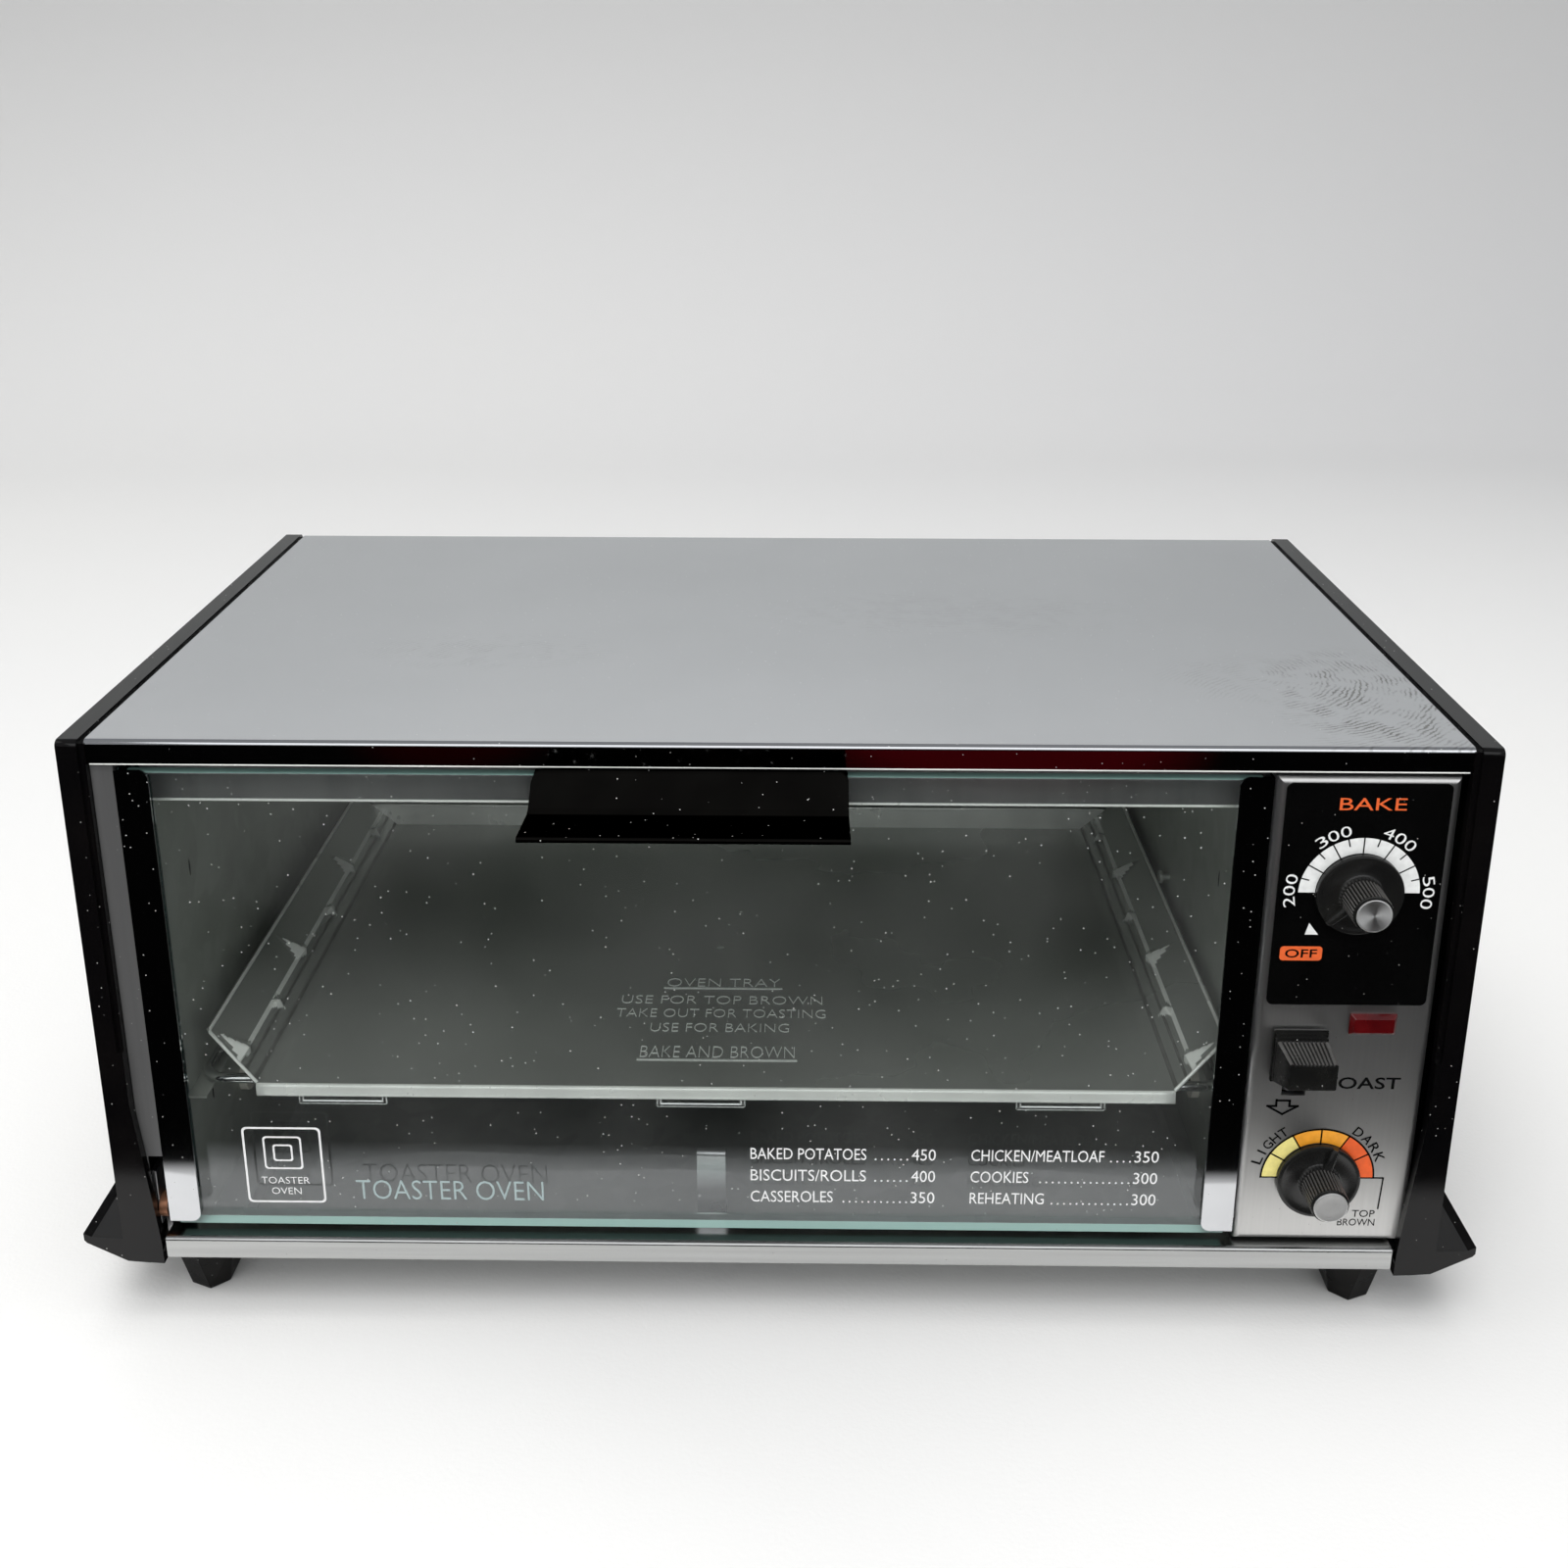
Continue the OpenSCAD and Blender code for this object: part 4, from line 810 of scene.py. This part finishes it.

# The return spring: a coil with closed end turns, between its seat and the lever's foot
spring_low, spring_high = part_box("lever_spring")
SPRING_TURNS, TURN_POINTS, WIRE = 6.5, 20, 0.5 * MM
spring_mid = (spring_low + spring_high) / 2
coil_radius = (spring_high.x - spring_low.x) / 2 - WIRE
coil_height = spring_high.z - spring_low.z - 2 * WIRE
bm = bmesh.new()
path = []
for k in range(int(SPRING_TURNS * TURN_POINTS) + 1):
    turn = k / TURN_POINTS
    rise = max(0.0, min(1.0, (turn - 0.75) / (SPRING_TURNS - 1.5)))
    angle = 2 * math.pi * turn
    path.append(Vector((spring_mid.x + coil_radius * math.cos(angle),
                        spring_mid.y + coil_radius * math.sin(angle),
                        spring_low.z + WIRE + coil_height * rise)))
tube(bm, path, WIRE, 8)
spring = piece("lever_spring_coil", bm, finish["plain_steel"], None, "lever_spring")
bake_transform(spring)

# ---- Oven tray: folded sheet with dimpled walls ----

tray_y0 = (tray_low.y - front_y) / MM
tray_y1 = (tray_high.y - front_y) / MM
rim_left, rim_right = tray_low.x / MM, tray_high.x / MM
lip_z, rim_z = tray_low.z / MM, tray_high.z / MM
FLARE, SHEET, FLOOR_DROP = 17.0, 0.7, 15.0
floor_z = rim_z - FLOOR_DROP
floor_left, floor_right = rim_left + FLARE, rim_right - FLARE
SLANT = math.hypot(FLARE, FLOOR_DROP)
tall_dimples = (22.5, 83.0, 146.0)
short_dimples = (52.0, 115.0, 180.0)


def pressed(y, s):
    """How far the wall is pressed in, at y along it and s up its slant, in millimetres."""
    depth = -0.55 * max(0.0, min(1.0, (s - 4.6) / 0.5, (8.4 - s) / 0.5))
    for middle in tall_dimples:
        up = (s - 8.2) / 11.5 if s > 8.2 else (8.2 - s) / 2.6
        along = abs(y - middle) / 6.0
        depth = max(depth, 3.0 * max(0.0, 1.0 - up - along * (1.0 + 0.5 * max(up, 0))))
    for middle in short_dimples:
        up = (s - 7.6) / 1.6 if s > 7.6 else (7.6 - s) / 5.2
        depth = max(depth, 2.3 * max(0.0, 1.0 - up - abs(y - middle) / 4.6))
    return depth


# Bright pale steel: the tray's hems, and painted highlight on the tray's lip, dimple facets and
# bead, the header's lip and the cover band's lower edge
hem_and_highlight_steel = surface("tray_hem_and_highlight_steel", (0.95, 0.96, 0.92), 0.3, 0.3, scale=60.0, grain=1800.0,
                    grain_bump=0.15)
bm = bmesh.new()
ROWS, WALL_COLUMNS, FLOOR_COLUMNS = 232, 44, 60
for side, edge in ((-1, floor_left), (1, floor_right)):
    grid = []
    normal = Vector((-side * FLOOR_DROP, 0, FLARE)).normalized()
    for j in range(WALL_COLUMNS + 1):
        s = SLANT * j / WALL_COLUMNS
        height = s * FLOOR_DROP / SLANT
        first = tray_y0 + 1 + 7.5 * height / FLOOR_DROP
        column = []
        for i in range(ROWS + 1):
            y = first + (tray_y1 - first) * i / ROWS
            base = Vector((edge + side * s * FLARE / SLANT, y, floor_z + height))
            base += normal * pressed(y, s) * min(1.0, s / 1.5)
            column.append(bm.verts.new(at(*base)))
        grid.append(column)
    for a, b in zip(grid, grid[1:]):
        for i in range(ROWS):
            face = bm.faces.new((a[i], a[i + 1], b[i + 1], b[i]))
            s = math.hypot(a[i].co.x - grid[0][i].co.x, a[i].co.z - grid[0][i].co.z) / MM
            relief = pressed((a[i].co.y - front_y) / MM, s)
            # Painted light on the walls: dimple facets on one side take the bright steel as painted
            # highlight, the wall's foot and the bead's lower edge take dark steel as painted shade,
            # and the bead's upper step takes the bright steel as painted highlight
            if relief > 0.25:
                face.material_index = 1 if a[i + 1].co.x * side < a[i].co.x * side else 0
            elif s < 1.1 or 4.3 < s < 5.2:
                face.material_index = 2
            elif 7.7 < s < 8.8:
                face.material_index = 1
grid = []
for j in range(FLOOR_COLUMNS + 1):
    x = floor_left + (floor_right - floor_left) * j / FLOOR_COLUMNS
    column = [bm.verts.new(at(x, y, z)) for y, z in
              ((tray_y0 + 1.6, lip_z + 0.1), (tray_y0 + 0.4, lip_z), (tray_y0, lip_z + 0.4),
               (tray_y0, lip_z + 1.4), (tray_y0, floor_z - 0.9), (tray_y0 + 0.15, floor_z - 0.4),
               (tray_y0 + 0.5, floor_z - 0.1))]
    first = tray_y0 + 1
    for i in range(ROWS + 1):
        column.append(bm.verts.new(at(x, first + (tray_y1 - first) * i / ROWS, floor_z)))
    grid.append(column)
for a, b in zip(grid, grid[1:]):
    for i in range(len(a) - 1):
        bm.faces.new((a[i], a[i + 1], b[i + 1], b[i]))
bmesh.ops.remove_doubles(bm, verts=bm.verts, dist=1e-6)
tray = piece("oven_tray_pressed", bm, finish["tray_steel"], "rack", "oven_tray", 50)
tray.data.materials.append(hem_and_highlight_steel)
# Third material: dark steel, painted shade along the creases
tray.data.materials.append(surface("tray_crease_painted_shade", (0.13, 0.13, 0.12), 0.4, 0.4, (0.20, 0.20, 0.19),
                                   scale=120.0, grain=1800.0, grain_bump=0.05))
# The front lip faces take the bright steel: painted highlight
for face in tray.data.polygons:
    if face.center.y < front_y + (tray_y0 + 0.9) * MM:
        face.material_index = 1
solidify = tray.modifiers.new("sheet", "SOLIDIFY")
solidify.thickness = SHEET * MM
faces_up = sum(face.normal.z * face.area for face in tray.data.polygons) > 0
solidify.offset = -1.0 if faces_up else 1.0

bm = bmesh.new()
for side, edge, rim in ((-1, floor_left, rim_left), (1, floor_right, rim_right)):
    inset = -side * 0.6
    path = [at(edge + inset * 0.3, tray_y0 + 1.0, floor_z + 0.2),
            at(edge + (rim - edge) * 0.5, tray_y0 + 4.6, floor_z + FLOOR_DROP * 0.5),
            at(rim + inset * 1.3, tray_y0 + 8.0, rim_z - 1.1),
            at(rim + inset, tray_y0 + 9.2, rim_z - 0.6), at(rim + inset, tray_y0 + 12, rim_z - 0.6),
            at(rim + inset, tray_y1 - 0.5, rim_z - 0.6)]
    tube(bm, path, 0.55 * MM)
rear_top = floor_z + FLOOR_DROP * 0.6
reach = FLARE * 0.6
solid(bm, [ring(bm, [at(x, y, z) for x, z in
                     ((floor_left, floor_z), (floor_right, floor_z),
                      (floor_right + reach, rear_top), (floor_left - reach, rear_top))])
           for y in (tray_y1 - SHEET, tray_y1)])
tube(bm, [at(floor_left - reach + 1, tray_y1 - 0.6, rear_top),
          at(floor_right + reach - 1, tray_y1 - 0.6, rear_top)], 0.5 * MM)
piece("oven_tray_hems", bm, hem_and_highlight_steel, "rack")

tray_middle = (floor_left + floor_right) / 2
emboss = Print()
for words, v, width, height in (("OVEN TRAY", 74.6, 40.0, 5.0),
                                ("USE FOR TOP BROWN", 63.6, 70.0, 4.8),
                                ("TAKE OUT FOR TOASTING", 55.4, 72.0, 4.8),
                                ("USE FOR BAKING", 46.8, 47.0, 4.8),
                                ("BAKE AND BROWN", 32.8, 51.0, 6.2)):
    emboss.text(words, (tray_middle, v), width, height, thin=-0.026, low=-0.1, high=0.22)
for half, v in ((20.6, 70.9), (26.0, 28.2)):
    emboss.stroke([(tray_middle - half, v), (tray_middle + half, v)], 0.7, -0.1, 0.25)
for v in emboss.bm.verts:
    v.co.y += front_y / MM
emboss.place("oven_tray_emboss", floor_z * MM, True, surface(
    "tray_emboss_steel", (0.90, 0.92, 0.89), 0.35, 0.2, scale=300.0, grain=2500.0,
    grain_bump=0.2), "rack", "tray_steel")

# ---- Painted shade of slots: dark patches on the cavity's side walls ----

bm = bmesh.new()
WALL_SHEET = 0.8
wall_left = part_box("cavity_left_wall")[1].x / MM
wall_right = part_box("cavity_right_wall")[1].x / MM - WALL_SHEET
shadow = surface("slot_shadow", (0.01, 0.01, 0.01), 0.6, 0.0, scale=300.0)
for x, inward, y, z, tall in ((wall_left, 1, 36.0, 145.0, 6.0), (wall_left, 1, 34.0, 62.0, 5.0),
                              (wall_right, -1, 55.5, 133.0, 6.0)):
    outline = [(0.55 * math.cos(a), tall / 2 * math.sin(a)) for a in turns(16)]
    solid(bm, [ring(bm, [at(x + depth, y + u, z + v) for u, v in outline])
               for depth in (-0.3 * inward, 0.06 * inward)])
piece("cavity_wall_slot_shadows", bm, shadow, "oven_body")

header_low, header_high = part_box("header_rail")
lip_y, lip_height = (header_low.y - front_y) / MM, header_low.z / MM
# A thin tube along the header's lower edge in the bright steel: painted highlight along that edge
bm = bmesh.new()
tube(bm, [at(header_low.x / MM + 1.0, lip_y, lip_height + 0.3),
          at(header_high.x / MM - 1.0, lip_y, lip_height + 0.3)], 0.45 * MM)
piece("header_rail_lip_highlight", bm, hem_and_highlight_steel, "oven_body")

cover_low, cover_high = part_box("top_cover")
BAND_HEIGHT, EDGE_RADIUS = 7.8, 0.28
band_y = (cover_low.y - front_y) / MM + EDGE_RADIUS - 0.1
band_z = cover_high.z / MM - BAND_HEIGHT + EDGE_RADIUS - 0.1
# A thin tube along the cover band's lower edge in the bright steel: painted highlight along that
# edge
bm = bmesh.new()
tube(bm, [at(cover_low.x / MM + 1.0, band_y, band_z), at(cover_high.x / MM - 1.0, band_y, band_z)],
     EDGE_RADIUS * MM)
piece("cover_band_edge_highlight", bm, hem_and_highlight_steel, "oven_body")

# ---- Screws with a cross recess ----

screw_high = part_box("fixing_screws")[1]
rear_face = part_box("rear_panel")[1].y
HEAD, SHANK = 3.4, 1.6
bm = bmesh.new()


def screw(centre, out, radius, height, shank, depth):
    """Low domed head with a cross recess: centre on the seat, out away from it."""
    side = out.cross(Vector((0, 0, 1))).normalized()
    up = side.cross(out)

    def point(r, a, h):
        return centre + (side * math.cos(a) * r + up * math.sin(a) * r + out * h) * MM

    arm, half = radius * 0.52, radius * 0.13
    cross = []
    for k in range(4):
        c, s = math.cos(k * math.pi / 2), math.sin(k * math.pi / 2)
        for u, v in ((arm, -half), (arm, 0.0), (arm, half), (half * 1.6, half * 1.05),
                     (half * 1.2, half * 1.2), (half * 1.05, half * 1.6)):
            cross.append((u * c - v * s, u * s + v * c))

    def cross_ring(h, shrink):
        return ring(bm, [centre + (side * u * shrink + up * v * shrink + out * h) * MM
                         for u, v in cross])

    rings = [ring(bm, [point(r, a, h) for a in turns(24)]) for r, h in
             ((shank, -depth), (shank, 0.0), (radius, 0.0), (radius, height * 0.35),
              (radius * 0.93, height * 0.7), (radius * 0.78, height * 0.95))]
    rings += [cross_ring(height, 1.0), cross_ring(height * 0.92, 0.94),
              cross_ring(height * 0.15, 0.7)]
    solid(bm, rings)


heads_out = (screw_high.y - rear_face) / MM
for x in (0.0, -194.2, 194.2):
    for z in (40.0, 160.0):
        screw(Vector((x * MM, rear_face, z * MM)), Vector((0, 1, 0)), HEAD, heads_out, SHANK, 5.8)
END_SEAT = 201.2
for side in (-1, 1):
    for y in (44.0, 174.0):
        screw(at(side * END_SEAT, y, 44.0), Vector((-side, 0, 0)), 3.2, 2.0, 1.45, 6.8)
piece("fixing_screws_cross", bm, finish["plain_steel"], "oven_body",
      "fixing_screws", 40)

# ---- Stage: pale cloth, plain soft light ----


def cloth(x, y):
    """Low soft swells of the cloth, none of them under the oven."""
    away = max(0.0, min(1.0, (math.hypot(x * 0.8, y + 0.02) - 0.24) / 0.5))
    swell = (math.sin(2.1 * x + 0.9 * y) + 0.6 * math.sin(3.3 * y - 1.7 * x + 1.0)
             + 0.4 * math.sin(5.2 * x + 2.3 * y + 2.0))
    return 0.0035 * swell * away


def stage_sheet(name, bm, material):
    """A flat or bent sheet of the studio, which isn't part of the oven."""
    for face in bm.faces:
        face.smooth = True
    mesh = bpy.data.meshes.new(name)
    bm.to_mesh(mesh)
    bm.free()
    mesh.materials.append(material)
    made = bpy.data.objects.new(name, mesh)
    collection.objects.link(made)
    return made


bm = bmesh.new()
WALL_Y, WALL_RISE, BEND, CLOTH_NEAR, CLOTH_HALF = 1.6, 1.9, 0.5, -3.0, 3.2
path = [(CLOTH_NEAR + (WALL_Y - BEND - CLOTH_NEAR) * i / 90, 0.0) for i in range(91)]
path += [(WALL_Y - BEND + BEND * math.sin(a), BEND - BEND * math.cos(a))
         for a in turns(64)[1:17]]
path += [(WALL_Y, BEND + WALL_RISE * k / 12) for k in range(1, 13)]
rows = []
for y, z in path:
    row = []
    for i in range(91):
        x = -CLOTH_HALF + 2 * CLOTH_HALF * i / 90
        row.append(bm.verts.new((x, y, z + (cloth(x, y) if z == 0.0 else 0.0))))
    rows.append(row)
skin(bm, rows, closed=False)
graph = Graph("backdrop_cloth")
shader = graph.principled()
place = graph.axes()
tone = graph.mix(graph.noise(1.6, 2.0), rgb((0.79, 0.785, 0.77)), rgb((0.76, 0.76, 0.76)))
# Painted shade: the cloth darkens towards the back and the right, and the wall darkens in bands
# going up, for light falling off
painted_falloff = graph.math("MULTIPLY", graph.remap(place["Y"], 0.25, 1.3, 0.0, 1.0),
                 graph.remap(place["X"], -0.8, 0.9, 0.3, 1.0))
tone = graph.mix(painted_falloff, tone, rgb((0.64, 0.64, 0.645)))
for low, high, shade in ((0.0, 0.46, (0.56, 0.56, 0.56)), (0.46, 0.62, (0.52, 0.53, 0.53)),
                         (0.70, 1.0, (0.64, 0.65, 0.65))):
    tone = graph.mix(graph.remap(place["Z"], low, high, 0.0, 1.0), tone, rgb(shade))
graph.link(tone, shader.inputs["Base Color"])
shader.inputs["Roughness"].default_value = 0.9
shader.inputs["Specular IOR Level"].default_value = 0.2
graph.link(graph.bump(graph.noise(700.0, 2.0), 0.25, 0.0004), shader.inputs["Normal"])
stage_sheet("backdrop", bm, graph.material)

# A dark flag above the cloth, seen only in reflections: the dark room that the oven's front mirrors
FLAG_Z, FLAG_NEAR, FLAG_FAR = 0.012, -0.146, -2.4
bm = bmesh.new()
near = []
for i in range(241):
    x = -1.5 + 3.0 * i / 240
    wave = 0.0022 * math.sin(61 * x) + 0.0028 * math.sin(33 * x + 1.1)
    near.append((x, FLAG_NEAR + wave))
skin(bm, [ring(bm, [Vector((x, y, FLAG_Z)) for x, y in near]),
          ring(bm, [Vector((x * 1.2, FLAG_FAR, FLAG_Z)) for x, y in near])], closed=False)
graph = Graph("flag_black")
shader = graph.principled()
tone = graph.mix(graph.noise(3.0, 2.0), rgb((0.0004, 0.0004, 0.0004)), rgb((0.001, 0.001, 0.001)))
for centre, size, red in (((0.13, -0.56, 0), (0.13, 0.12, 1), 0.030),
                          ((-0.20, -0.56, 0), (0.07, 0.08, 1), 0.006)):
    tone = graph.mix(graph.remap(graph.ball(centre, size), 0.0, 0.35, 0.0, 1.0), tone,
                     rgb((red, red * 0.02, red * 0.05)))
graph.link(tone, shader.inputs["Base Color"])
shader.inputs["Roughness"].default_value = 1.0
shader.inputs["Specular IOR Level"].default_value = 0.0
feather = graph.remap(graph.axes()["Y"], FLAG_NEAR + 0.003, FLAG_NEAR - 0.007, 0.0, 1.0)
clear = graph.node("ShaderNodeBsdfTransparent")
graph.link(graph.either(feather, clear.outputs[0], shader.outputs[0]),
           graph.out.inputs["Surface"])
flag = stage_sheet("flag", bm, graph.material)
flag.visible_camera = False
flag.visible_diffuse = False
flag.visible_shadow = False
flag.visible_transmission = False


def softbox(name, place, target, width, height, power, colour=(1, 1, 1)):
    """A soft rectangular light that faces a target and is itself out of the picture."""
    light = bpy.data.lights.new(name, "AREA")
    light.shape = "RECTANGLE"
    light.size, light.size_y = width, height
    light.energy = power
    light.color = colour
    made = bpy.data.objects.new(name, light)
    made.location = place
    made.rotation_euler = (Vector(target) - Vector(place)).to_track_quat("-Z", "Y").to_euler()
    made.visible_camera = False
    collection.objects.link(made)
    return made


for unmirrored in (
        softbox("overhead", (-0.25, -0.2, 2.3), (0, 0.1, 0), 2.2, 1.6, 34, (1.0, 0.99, 0.98)),
        softbox("high_front", (-0.3, -1.25, 1.9), (0, -0.05, 0.08), 1.2, 0.9, 22)):
    unmirrored.visible_glossy = False
softbox("front", (0.25, -2.0, 1.25), (0, 0, 0.1), 2.8, 1.5, 15, (0.98, 0.99, 1.0))
softbox("left", (-2.0, -0.4, 1.1), (0, 0, 0.1), 1.8, 1.7, 8, (1.0, 0.99, 0.95))
softbox("right", (2.0, -0.3, 1.1), (0, 0, 0.1), 1.8, 1.7, 4)
world = bpy.data.worlds.new("studio")
world.use_nodes = True
sky = world.node_tree.nodes["Background"]
sky.inputs["Color"].default_value = (0.95, 0.97, 1.0, 1)
sky.inputs["Strength"].default_value = 0.28
bpy.context.scene.world = world
